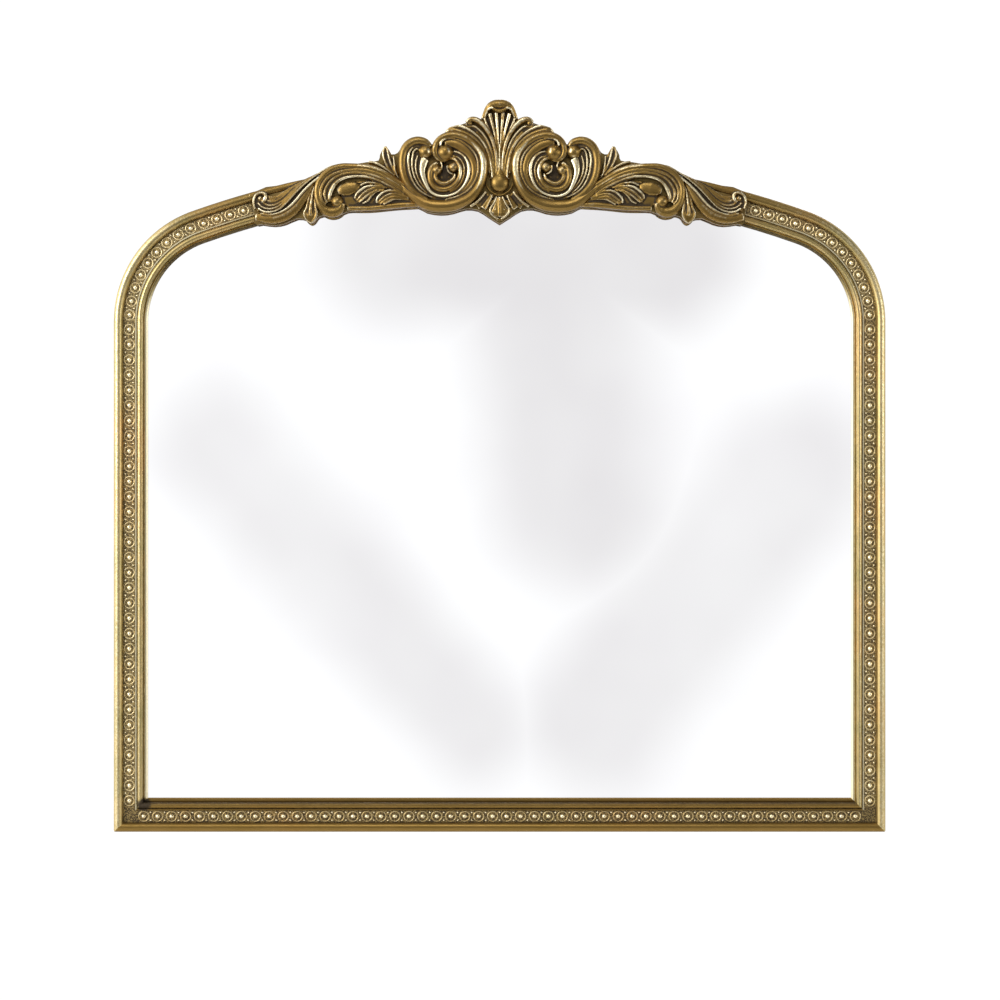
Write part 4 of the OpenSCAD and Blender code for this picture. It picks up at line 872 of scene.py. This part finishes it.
wing = {
    "outer": [(112, -40, 6, 8), (120, -32.5, 7, 9), (130, -25.5, 8, 9.5), (142.5, -16.5, 9, 10.5),
              (154.5, -8.6, 9, 11.4), (167, -2.6, 8.6, 12), (180.5, 1.2, 8.2, 12.4), (192.5, 3.8, 8, 12.6),
              (204.5, 5.6, 8, 12.6), (215, 4.6, 8.4, 12.6), (223.4, 1, 8.6, 12.6), (230.6, -5, 8.6, 12.6),
              (235, -13, 8.4, 12.6), (236, -22.5, 8.4, 12.6), (234.5, -32, 9.4, 12.4),
              (230.4, -40.5, 11.5, 12.2), (224.4, -47, 13.6, 12), (216.5, -50.6, 14.4, 11.8),
              (209, -50, 12.8, 11.6), (204.4, -46, 9.6, 11.4), (203.5, -41.5, 8, 11.6)],
    "ridge2": [(116, -41, 2.6, 8.4), (122.5, -36, 3, 9.4), (134, -26.5, 3.6, 10.4), (149, -16, 3.8, 11.2),
               (164, -8, 3.8, 12), (175.5, -4, 3.8, 12.4), (188, -1.6, 3.8, 12.6), (200, -0.6, 3.8, 12.6),
               (211, -1.6, 4, 12.6), (220, -5, 4.2, 12.6), (226.6, -11, 4.2, 12.6),
               (230.4, -18.4, 4.2, 12.6), (231.2, -26, 4, 12.4), (229, -34.5, 3.6, 12), (225, -40, 3, 11)],
    "ridge3": [(121, -40, 2.4, 8.6), (129, -33.6, 2.8, 9.6), (142.5, -24, 3, 10.8), (156.5, -15.5, 3, 11.4),
               (170.5, -9.4, 3, 11.8), (183.5, -6, 3, 12), (196, -4.6, 3.2, 12), (207, -5.6, 3.4, 12),
               (216, -9, 3.6, 12), (222, -15, 3.8, 12), (225.8, -22.4, 3.6, 11.8), (225.8, -30.5, 3.2, 11.4),
               (222.8, -38, 2.6, 10.6)],
    "ridge4": [(125, -41, 2.2, 8.4), (131.5, -35.5, 2.6, 9.4), (142.5, -28, 3, 10.6),
               (154.5, -20.8, 3.2, 11.2), (169, -14, 3.2, 11.6), (183, -10.6, 3.4, 11.8),
               (195, -9.6, 3.8, 11.8), (205, -11, 4.6, 11.8), (212.4, -15.4, 6, 11.6), (217, -22, 6.8, 11.4),
               (219.5, -29.6, 5.4, 10.8), (220.6, -35.6, 3, 9.8)],
    "floor": [(122, -39, 10, 7.4), (135, -29, 14, 8.6), (152, -18, 16, 9.6), (172, -8, 16, 10),
              (192, -3.6, 16, 10), (208, -5, 16, 10), (219, -12, 16, 10), (224.6, -24, 16, 9.8),
              (222, -36, 14, 9)],
    "low": [(112, -49, 12, 5), (130, -43, 20, 5.6), (150, -38, 28, 6), (172, -34, 34, 6.4),
            (192, -32, 32, 6.4), (206, -32, 24, 6.4)],
    "leafRidges": [[(148, -30, 2.2, 9), (160.5, -26.5, 2.8, 10.4), (170.5, -25.5, 3.4, 11.2),
                    (178.5, -28.5, 3.6, 11.6), (185, -34, 3.4, 11.2), (187, -39, 2.6, 10)],
                   [(156, -29, 2, 9.8), (166, -29.6, 3, 11.2), (173.6, -32.4, 3.2, 11.6),
                    (180, -37.4, 2.6, 11), (183.6, -41, 1.4, 9.6)],
                   [(158, -32, 2, 10), (166.6, -35, 3, 11.4), (173.4, -38.8, 3, 11.6),
                    (178.4, -42.4, 2.4, 10.4), (182, -44.6, 1.4, 8.8)],
                   [(149, -33, 2.2, 8.6), (159, -34, 2.6, 9.8), (165.5, -38.4, 2.8, 10.6),
                    (170.5, -44, 2.8, 10.2), (177, -46.6, 2.4, 9)],
                   [(146, -31, 2, 8.4), (155.5, -25, 2.2, 9.6), (165.5, -21.4, 2.6, 10.4),
                    (174.5, -20.8, 2.8, 10.6), (179.6, -23, 3, 10)]],
    "rootRidges": [[(125, -42, 2.4, 8.4), (137.5, -35.5, 2.8, 10.2), (146.5, -35, 3, 11), (154, -38.4, 3, 11),
                    (158.6, -44, 2.8, 10.4), (159, -48.5, 2.4, 9.2)],
                   [(126, -43.4, 2, 8.8), (139, -39.4, 3, 10.6), (147, -41, 3, 10.8), (153, -45, 2.4, 10),
                    (156.6, -48.4, 1.4, 8.6)],
                   [(128, -45.4, 2, 8.8), (139.6, -43.4, 2.8, 10.4), (147, -46, 2.8, 10.4),
                    (151.4, -48.6, 2.2, 9.6), (154.6, -50.6, 1.4, 8)],
                   [(125, -47.6, 2.2, 7.6), (136.5, -46.4, 2.6, 9.6), (143.6, -48.6, 2.6, 10),
                    (150, -51.4, 2.6, 9.4)]],
    "leaf": [(149, -31, 5, 8), (159, -29.5, 10, 9.6), (168, -32, 15, 10.4), (175.4, -36, 16, 10.4),
             (181.6, -39.8, 11, 9.8), (185.4, -42, 4, 8.6)],
    "rootLeaf": [(118, -46, 7, 7), (130, -43, 10, 8.8), (140.4, -41.4, 13, 9.8), (148, -43.4, 14, 9.8),
                 (154, -46.2, 10, 9.2), (157.6, -48.4, 4, 8)],
    "sill": [(104, -56.6, 5, 5.8), (117.5, -55, 7, 6.8), (130, -54.2, 7.4, 7), (146, -54, 7, 7),
             (164, -53.6, 6.6, 6.8), (182, -51.4, 6.6, 6.8), (197, -49, 6, 6.4)],
    "pad": [(182, -24, 8, 8.4), (187, -24, 14, 10), (195.6, -24.4, 18, 10.8), (203.4, -25, 15, 10.4),
            (209, -25.4, 8, 8.8)],
    "balls": [(210, -38.6, 17, 13.5)],
    "paintedHighlights": [[(126, -31, 0), (134, -25, 2), (150, -17, 2.6), (170, -10.6, 3), (188, -9, 3),
                (204, -11.4, 4)],
               [(214, -17, 4), (218.4, -24, 6), (220, -32, 4)],
               [(152, -36, 2), (157.4, -42, 2.6), (158.6, -47, 2)],
               [(140, -14, 0), (152, -6.6, 3), (166, -0.6, 3), (180, 3, 2), (192, 5, 0)],
               [(160, -27, 2), (172, -26, 2.4), (182, -31, 2.4)]],
    "dark": [[(186, -13.6, 2), (196, -13, 2.6), (206, -17, 3), (210, -24, 4), (211, -31, 3)],
             [(162, -47.4, 4), (166, -49, 4), (186, -47, 4), (194, -44, 5)]],
}
wingRight = carve(
    "wing_right_carved",
    [wing[key] for key in ("outer", "ridge2", "ridge3", "ridge4", "sill")]
    + wing["leafRidges"] + wing["rootRidges"],
    [(wing["floor"], 2), (wing["low"], 1.6), (wing["leaf"], 4.4), (wing["rootLeaf"], 4.2), (wing["pad"],
                                                                                            3.2)],
    wing["balls"])
# Painted highlights along the bright lines, painted shade along the dark ones
touchUp(wingRight, "proudAndHighlit", wing["paintedHighlights"], 0.3)
touchUp(wingRight, "hollowAndShade", wing["dark"], 0.6)
settlePair(wingRight, "wing")
print("wings carved")

tail = {
    "belly": [(239, -6, 4, 8.4), (247, -15.4, 8.4, 9.4), (255.6, -26.4, 12.6, 9.8), (264.5, -35, 15, 9.8),
              (274.5, -40, 16, 9.8), (286.5, -42.6, 15, 9.6), (299, -41, 12.4, 9.2), (309, -37, 10.6, 8.6),
              (315.4, -34, 9.6, 8)],
    "strands": [[(221, 4, 1.6, 8), (227, 0.4, 2.6, 10), (234.5, -3.8, 3.2, 11), (242, -8, 3.2, 11.2),
                 (249, -13, 3.2, 11.2), (256, -19, 3.2, 11.2), (262.5, -25.4, 3.2, 11.2),
                 (270, -31.4, 3, 11), (278, -35.6, 2.8, 10.8), (288, -37.6, 2.6, 10.4),
                 (299, -36.4, 2.4, 10), (309, -32, 2.4, 9.4)],
                [(209, 9, 1, 9), (218, 8.2, 1.8, 9.6), (226, 5.4, 2.2, 9.8), (233, 2.2, 2.4, 9.8),
                 (239.5, -0.6, 2.4, 9.8), (249, -6, 2.4, 10), (258, -12, 2.4, 10.2), (267, -19.4, 2.4, 10.4),
                 (275.5, -26.8, 2.4, 10.4), (284, -32, 2.4, 10.2), (294, -33.4, 2.4, 10),
                 (304, -30.8, 2.4, 9.8), (312, -24.6, 2.4, 9.4)],
                [(232, 3.4, 1, 7), (238, 1.4, 1.8, 7.8), (246, -1.6, 2.2, 8.4), (256, -6.8, 2.4, 9),
                 (266, -14.4, 2.4, 9.4), (274, -21.6, 2.4, 9.6), (282.5, -27.4, 2.4, 9.6),
                 (291.5, -29.6, 2.4, 9.6), (300, -28, 2.4, 9.4), (307.5, -23.5, 2.4, 9.2),
                 (312.5, -17, 2.4, 8.8)],
                [(257, -4.6, 1.8, 6.6), (268, -13, 2.2, 8), (277, -20.4, 2.4, 8.6), (285.5, -24.6, 2.4, 8.8),
                 (294.5, -25.2, 2.4, 8.8), (302.5, -21.8, 2.4, 8.6), (307.5, -16, 2.4, 8)],
                [(264, -7, 1.8, 5.8), (275.5, -15, 2.2, 7.2), (284.5, -19.8, 2.4, 7.8),
                 (293.5, -20.6, 2.4, 8), (300.4, -17.4, 2.4, 7.8)],
                [(271, -7.4, 1.8, 5), (282, -13.6, 2.2, 6.4), (291.4, -15.6, 2.4, 7), (298, -13.4, 2.4, 7)]],
    "volute": [(316, -24, 2.6, 9.2), (318, -16, 3, 9.8), (317, -9.4, 3.2, 10), (313, -5.6, 3.4, 10),
               (307.5, -5.8, 3.6, 10), (303, -9.2, 4.6, 10.2), (303.4, -14.6, 5.6, 10.2),
               (307, -18, 3.6, 9.6)],
    "edgeRoll": [(324, -5, 9, 3), (300, -5, 9, 3), (270, -4.8, 9, 3), (240, -4.6, 8, 3)],
    "fan": [(240, -2, 8, 5), (253.5, -7.4, 11, 6), (264.5, -14.4, 16, 6.6), (275.5, -20.4, 20, 7),
            (286.5, -24.6, 22, 7.2), (297.5, -23, 22, 7.2), (307.5, -19, 22, 7), (314, -18, 20, 6.6)],
    "balls": [(309.4, -12.4, 8, 9.2)],
    "paintedHighlights": [[(234, -4, 2), (250, -14, 3), (262, -26, 3), (272, -34, 2)],
               [(276, -34.6, 2), (292, -36, 2.6), (306, -31, 2.6), (314, -20, 3), (316, -10, 2.4)],
               [(298, -21, 5), (304, -14, 5)], [(262, -33, 4), (276, -41, 5), (292, -42, 4)]],
    "dark": [[(252, -6, 4), (264, -12, 7), (276, -17, 7), (288, -18, 5)]],
}
tailRight = carve("tail_leaf_right_carved", [tail["volute"]] + tail["strands"],
                  [(tail["belly"], 4.6), (tail["edgeRoll"], 2.9), (tail["fan"], 1.6)], tail["balls"])
# Painted highlights along the bright lines, painted shade along the dark ones
touchUp(tailRight, "proudAndHighlit", tail["paintedHighlights"], 0.35)
touchUp(tailRight, "hollowAndShade", tail["dark"], 0.35)
settlePair(tailRight, "tail_leaf")
print("tail leaves carved")

tongue = {
    "ribs": [[(239.6, -13, 1.8, 7), (241.5, -20, 2.6, 9), (243, -30, 3.4, 10), (244.4, -40.5, 4.6, 10.4),
              (244.6, -49.5, 6, 9.6)],
             [(238.6, -18, 1.8, 6.4), (238.8, -29, 2.6, 8), (237.8, -40, 3, 8.8), (236.8, -49.5, 3.2, 8.4),
              (240.4, -56.6, 3, 7.4), (244, -59, 2.6, 6.6)],
             [(243.4, -17, 1.8, 6.4), (246.6, -27.5, 2.6, 8), (249.2, -38, 3, 8.8), (252.4, -46.5, 3.2, 8.4),
              (248.4, -55, 3, 7.4), (244, -59, 2.6, 6.6)]],
    "ground": [(240.2, -14, 4, 5.6), (242.5, -24.5, 10, 7), (244, -37, 15, 7.8), (244.5, -48, 18, 8),
               (244, -57, 9, 6.4)],
}
tongueRight = carve("tongue_leaf_right_carved", tongue["ribs"], [(tongue["ground"], 2)])
settlePair(tongueRight, "tongue_leaf")

sprig = {
    "ribs": [[(133.6, -15.4, 2.2, 6.4), (139, -4, 2.6, 7.6), (142.6, 7, 2.8, 8.2), (144.6, 16, 2.8, 8),
              (147, 23.4, 2.4, 7)],
             [(137.4, -13.5, 2.4, 6.4), (144.6, -3.5, 3, 7.4), (149, 7, 3.2, 7.8), (150.6, 15.4, 3, 7.4),
              (148.4, 23.4, 2.4, 6.8)],
             [(131, -19, 1.8, 6.6), (134.4, -11.5, 2.2, 7.8), (136, -1, 2.4, 8), (137, 9.6, 2.2, 7)],
             [(136, -15.6, 2.2, 6.6), (145, -7.4, 3, 7.8), (154, -0.4, 3.6, 8.2), (162, 4, 3.6, 8),
              (169.4, 6.4, 3.2, 6.8)]],
    "ground": [(133, -16, 7, 5), (139.5, -4, 14, 5.6), (144.5, 8, 15, 6), (147, 17, 10, 5.8),
               (148, 23.4, 4, 5.4)],
    "low": [(137.5, -16, 5, 4.6), (146, -8.6, 8, 5.4), (156, 0, 8, 5.6), (169, 5, 6, 5)],
}
sprigRight = carve("sprig_right_carved", sprig["ribs"], [(sprig["ground"], 2), (sprig["low"], 2)])
settlePair(sprigRight, "sprig")
print("small leaves carved")

# Screws on the back: pan heads with a cross recess, each turned its own way
# The shank starts a little inside the head, and the dimple in the middle is a cone of two radii and a depth
screw = {"head": 6.4, "height": 2.0, "edge": 0.8, "blank": 4.0, "slot": (3.5, 0.75), "recess": 1.1,
         "dimple": (1.1, 0.2, 2.8), "shank": 3.0, "shankFrom": 1.8, "point": 3.0, "tip": 0.1, "reach": 8.0}
np.random.seed(7)


def cutWith(piece, cutter):
    applyModifier(piece, "BOOLEAN", operation="DIFFERENCE", object=cutter, solver="EXACT")
    bpy.data.objects.remove(cutter, do_unlink=True)


def oneScrew(length):
    # The top of the head lies at the origin and the point looks towards -Y
    upright = (math.radians(90), 0, 0)
    clearSelection()
    bpy.ops.mesh.primitive_cylinder_add(vertices=32, radius=screw["head"] * mm / 2, depth=screw["blank"] * mm,
                                        location=(0, -screw["blank"] * mm / 2, 0), rotation=upright)
    head = bpy.context.object
    applyModifier(head, "BEVEL", width=screw["edge"] * mm, segments=3, limit_method="ANGLE")
    bpy.ops.object.transform_apply(location=True, rotation=True, scale=True)
    bpy.ops.object.mode_set(mode="EDIT")
    bpy.ops.mesh.select_all(action="SELECT")
    bpy.ops.mesh.bisect(plane_co=(0, -screw["height"] * mm, 0), plane_no=(0, 1, 0),
                        use_fill=True, clear_inner=True)
    bpy.ops.object.mode_set(mode="OBJECT")
    for turn in (0, 90):
        clearSelection()
        bpy.ops.mesh.primitive_cube_add(size=1, location=(0, 0, 0), rotation=(0, math.radians(turn), 0))
        slot = bpy.context.object
        slot.scale = (screw["slot"][0] * mm, 2 * screw["recess"] * mm, screw["slot"][1] * mm)
        cutWith(head, slot)
    wide, narrow, deep = screw["dimple"]
    clearSelection()
    bpy.ops.mesh.primitive_cone_add(vertices=16, radius1=wide * mm, radius2=narrow * mm, depth=deep * mm,
                                    location=(0, 0, 0), rotation=upright)
    cutWith(head, bpy.context.object)
    clearSelection()
    shankLength = length - screw["shankFrom"] * mm - screw["point"] * mm
    bpy.ops.mesh.primitive_cylinder_add(vertices=16, radius=screw["shank"] * mm / 2, depth=shankLength,
                                        location=(0, -screw["shankFrom"] * mm - shankLength / 2, 0),
                                        rotation=upright)
    shank = bpy.context.object
    clearSelection()
    bpy.ops.mesh.primitive_cone_add(vertices=16, radius1=screw["shank"] * mm / 2, radius2=screw["tip"] * mm,
                                    depth=screw["point"] * mm,
                                    location=(0, -length + screw["point"] * mm / 2, 0), rotation=upright)
    whole = joinAll([head, shank, bpy.context.object], "screw")
    pick(whole)
    bpy.ops.object.transform_apply(location=True, rotation=True, scale=True)
    bpy.ops.object.shade_smooth_by_angle(angle=math.radians(35))
    whole.data.materials.clear()
    whole.data.materials.append(materials["zinc"])
    return whole


def placesOf(node):
    # The middle of each screw of a node, at the top of its head, and its length
    thing = nodes[node]
    spots = np.array([thing.matrix_world @ vertex.co for vertex in thing.data.vertices])
    places = []
    while len(spots):
        near = np.linalg.norm(spots[:, [0, 2]] - spots[0, [0, 2]], axis=1) < screw["reach"] * mm
        low, high = spots[near].min(axis=0), spots[near].max(axis=0)
        places.append(((low[0] + high[0]) / 2, high[1], (low[2] + high[2]) / 2, high[1] - low[1]))
        spots = spots[~near]
    return places


for node in ("clip_screws", "crest_screws", "brace_screws", "hanger_screws"):
    places = placesOf(node)
    first = oneScrew(places[0][3])
    copies = [first]
    for _ in places[1:]:
        pick(first)
        bpy.ops.object.duplicate()
        copies.append(bpy.context.object)
    for copy, place in zip(copies, places):
        copy.location = place[:3]
        copy.rotation_euler = (0, np.random.uniform(0, math.pi / 2), 0)
    piece = joinAll(copies, node + "_turned")
    bpy.ops.object.transform_apply(location=True, rotation=True, scale=True)
    settle(piece, node)
print("screws driven")

# Studio: a pale floor well below the hanging mirror, soft lamps, and a room that is bright to both sides
studio = {"floorMiddle": (0, -0.3, -0.42), "floorSize": (3.2, 2.2, 1), "aim": (0, 0, 0.5),
          "background": 1.05, "inGlass": 1.12, "streak": (0.775, 0.762, 0.765, 1),
          "left": 1.78, "right": 1.1, "above": 0.4, "below": 0.1, "ahead": 0.4,
          "darkSide": (0.66, -0.5, 0.54), "darkEdge": (0.82, 0.92), "dark": 0.1}
white = (1, 1, 1, 1)
bpy.context.scene.view_settings.view_transform = "Standard"
clearSelection()
bpy.ops.mesh.primitive_plane_add(size=1, location=studio["floorMiddle"])
floor = bpy.context.object
floor.name = "floor"
floor.scale = studio["floorSize"]
floorMaterial, floorTree, floorShader = newMaterial("paleFloor")
floorShader.inputs["Base Color"].default_value = (0.8, 0.8, 0.8, 1.0)
floorShader.inputs["Roughness"].default_value = 0.8
floor.data.materials.append(floorMaterial)

lamps = {"keyLamp": ((-2.2, -2.0, 1.2), 1.3, 44), "fillLamp": ((2.5, -1.7, 0.9), 1.0, 16),
         "topLamp": ((-0.2, -1.9, 2.3), 0.8, 14), "backLamp": ((0.6, 2.6, 1.6), 1.4, 30)}
for name, (place, size, power) in lamps.items():
    aim = Vector(studio["aim"]) - Vector(place)
    bpy.ops.object.light_add(type="AREA", location=place, rotation=aim.to_track_quat("-Z", "Y").to_euler())
    lamp = bpy.context.object
    lamp.name = name
    lamp.data.size = size
    lamp.data.energy = power

# The room as seen by the camera, by the glass, and by everything else
world = bpy.data.worlds.new("studioWorld")
bpy.context.scene.world = world
world.use_nodes = True
sky = world.node_tree
sky.nodes.clear()
toward = sky.nodes.new("ShaderNodeTexCoord").outputs["Generated"]
east, _, up = axesOf(sky, toward)
aside = maths(sky, "ADD", spread(sky, east, -0.85, -0.25, studio["left"], studio["ahead"] / 2),
              spread(sky, east, 0.25, 0.85, studio["ahead"] / 2, studio["right"]))
height = spread(sky, up, -0.6, 0.1, studio["below"], 1.0)
room = maths(sky, "ADD", maths(sky, "MULTIPLY", aside, height),
             spread(sky, up, 0.5, 0.95, 0.0, studio["above"]))
# A dark corner high on the right, which shows on the right shoulder and on the upper edges of the leaves
corner = sky.nodes.new("ShaderNodeVectorMath")
corner.operation = "DOT_PRODUCT"
sky.links.new(toward, corner.inputs[0])
corner.inputs[1].default_value = Vector(studio["darkSide"]).normalized()
room = maths(sky, "MULTIPLY", room,
             spread(sky, corner.outputs["Value"], *studio["darkEdge"], 1.0, studio["dark"]))


def streak(first, second, wide, soft):
    # A soft grey streak in the room, which the glass shows, from one direction to another
    run = ((second[0] - first[0]) ** 2 + (second[1] - first[1]) ** 2) ** 0.5
    ux, uz = (second[0] - first[0]) / run, (second[1] - first[1]) / run
    dx = maths(sky, "SUBTRACT", east, first[0])
    dz = maths(sky, "SUBTRACT", up, first[1])
    crossed = maths(sky, "SUBTRACT", maths(sky, "MULTIPLY", dz, ux), maths(sky, "MULTIPLY", dx, uz))
    along = maths(sky, "ADD", maths(sky, "MULTIPLY", dx, ux), maths(sky, "MULTIPLY", dz, uz))
    beyond = maths(sky, "MAXIMUM", maths(sky, "SUBTRACT", 0.0, along), maths(sky, "SUBTRACT", along, run))
    beyond = maths(sky, "MAXIMUM", beyond, 0.0)
    reach = lengthOf(sky, maths(sky, "ABSOLUTE", crossed), beyond)
    return spread(sky, reach, wide, wide + soft, 1.0, 0.0)


# Two streaks form a T high in the glass, and two fainter ones form a V low down
streaks = [((-0.036, 0.092), (0.06, 0.088), 0.012, 0.032, 1.0),
           ((0.02, 0.08), (0.03, 0.0), 0.012, 0.04, 1.0),
           ((-0.1, 0.02), (-0.01, -0.082), 0.006, 0.03, 0.8),
           ((0.105, 0.01), (0.035, -0.08), 0.012, 0.03, 0.8)]
shaded = 0.0
for first, second, wide, soft, depth in streaks:
    shaded = maths(sky, "MAXIMUM", shaded, maths(sky, "MULTIPLY", streak(first, second, wide, soft), depth))
patches = maths(sky, "MULTIPLY", shaded, spread(sky, noiseOf(sky, toward, 9.0, 2.0), 0.2, 0.6, 0.55, 1.0))
inGlass = blendColor(sky, patches, white, studio["streak"])


def backdrop(color, strength):
    node = sky.nodes.new("ShaderNodeBackground")
    feed(sky, color, node.inputs["Color"])
    feed(sky, strength, node.inputs["Strength"])
    return node.outputs[0]


path = sky.nodes.new("ShaderNodeLightPath")
reflected = sky.nodes.new("ShaderNodeMixShader")
sky.links.new(path.outputs["Is Singular Ray"], reflected.inputs[0])
sky.links.new(backdrop(white, room), reflected.inputs[1])
sky.links.new(backdrop(inGlass, studio["inGlass"]), reflected.inputs[2])
direct = sky.nodes.new("ShaderNodeMixShader")
sky.links.new(path.outputs["Is Camera Ray"], direct.inputs[0])
sky.links.new(reflected.outputs[0], direct.inputs[1])
sky.links.new(backdrop(white, studio["background"]), direct.inputs[2])
skyOutput = sky.nodes.new("ShaderNodeOutputWorld")
sky.links.new(direct.outputs[0], skyOutput.inputs["Surface"])
print("studio lit")
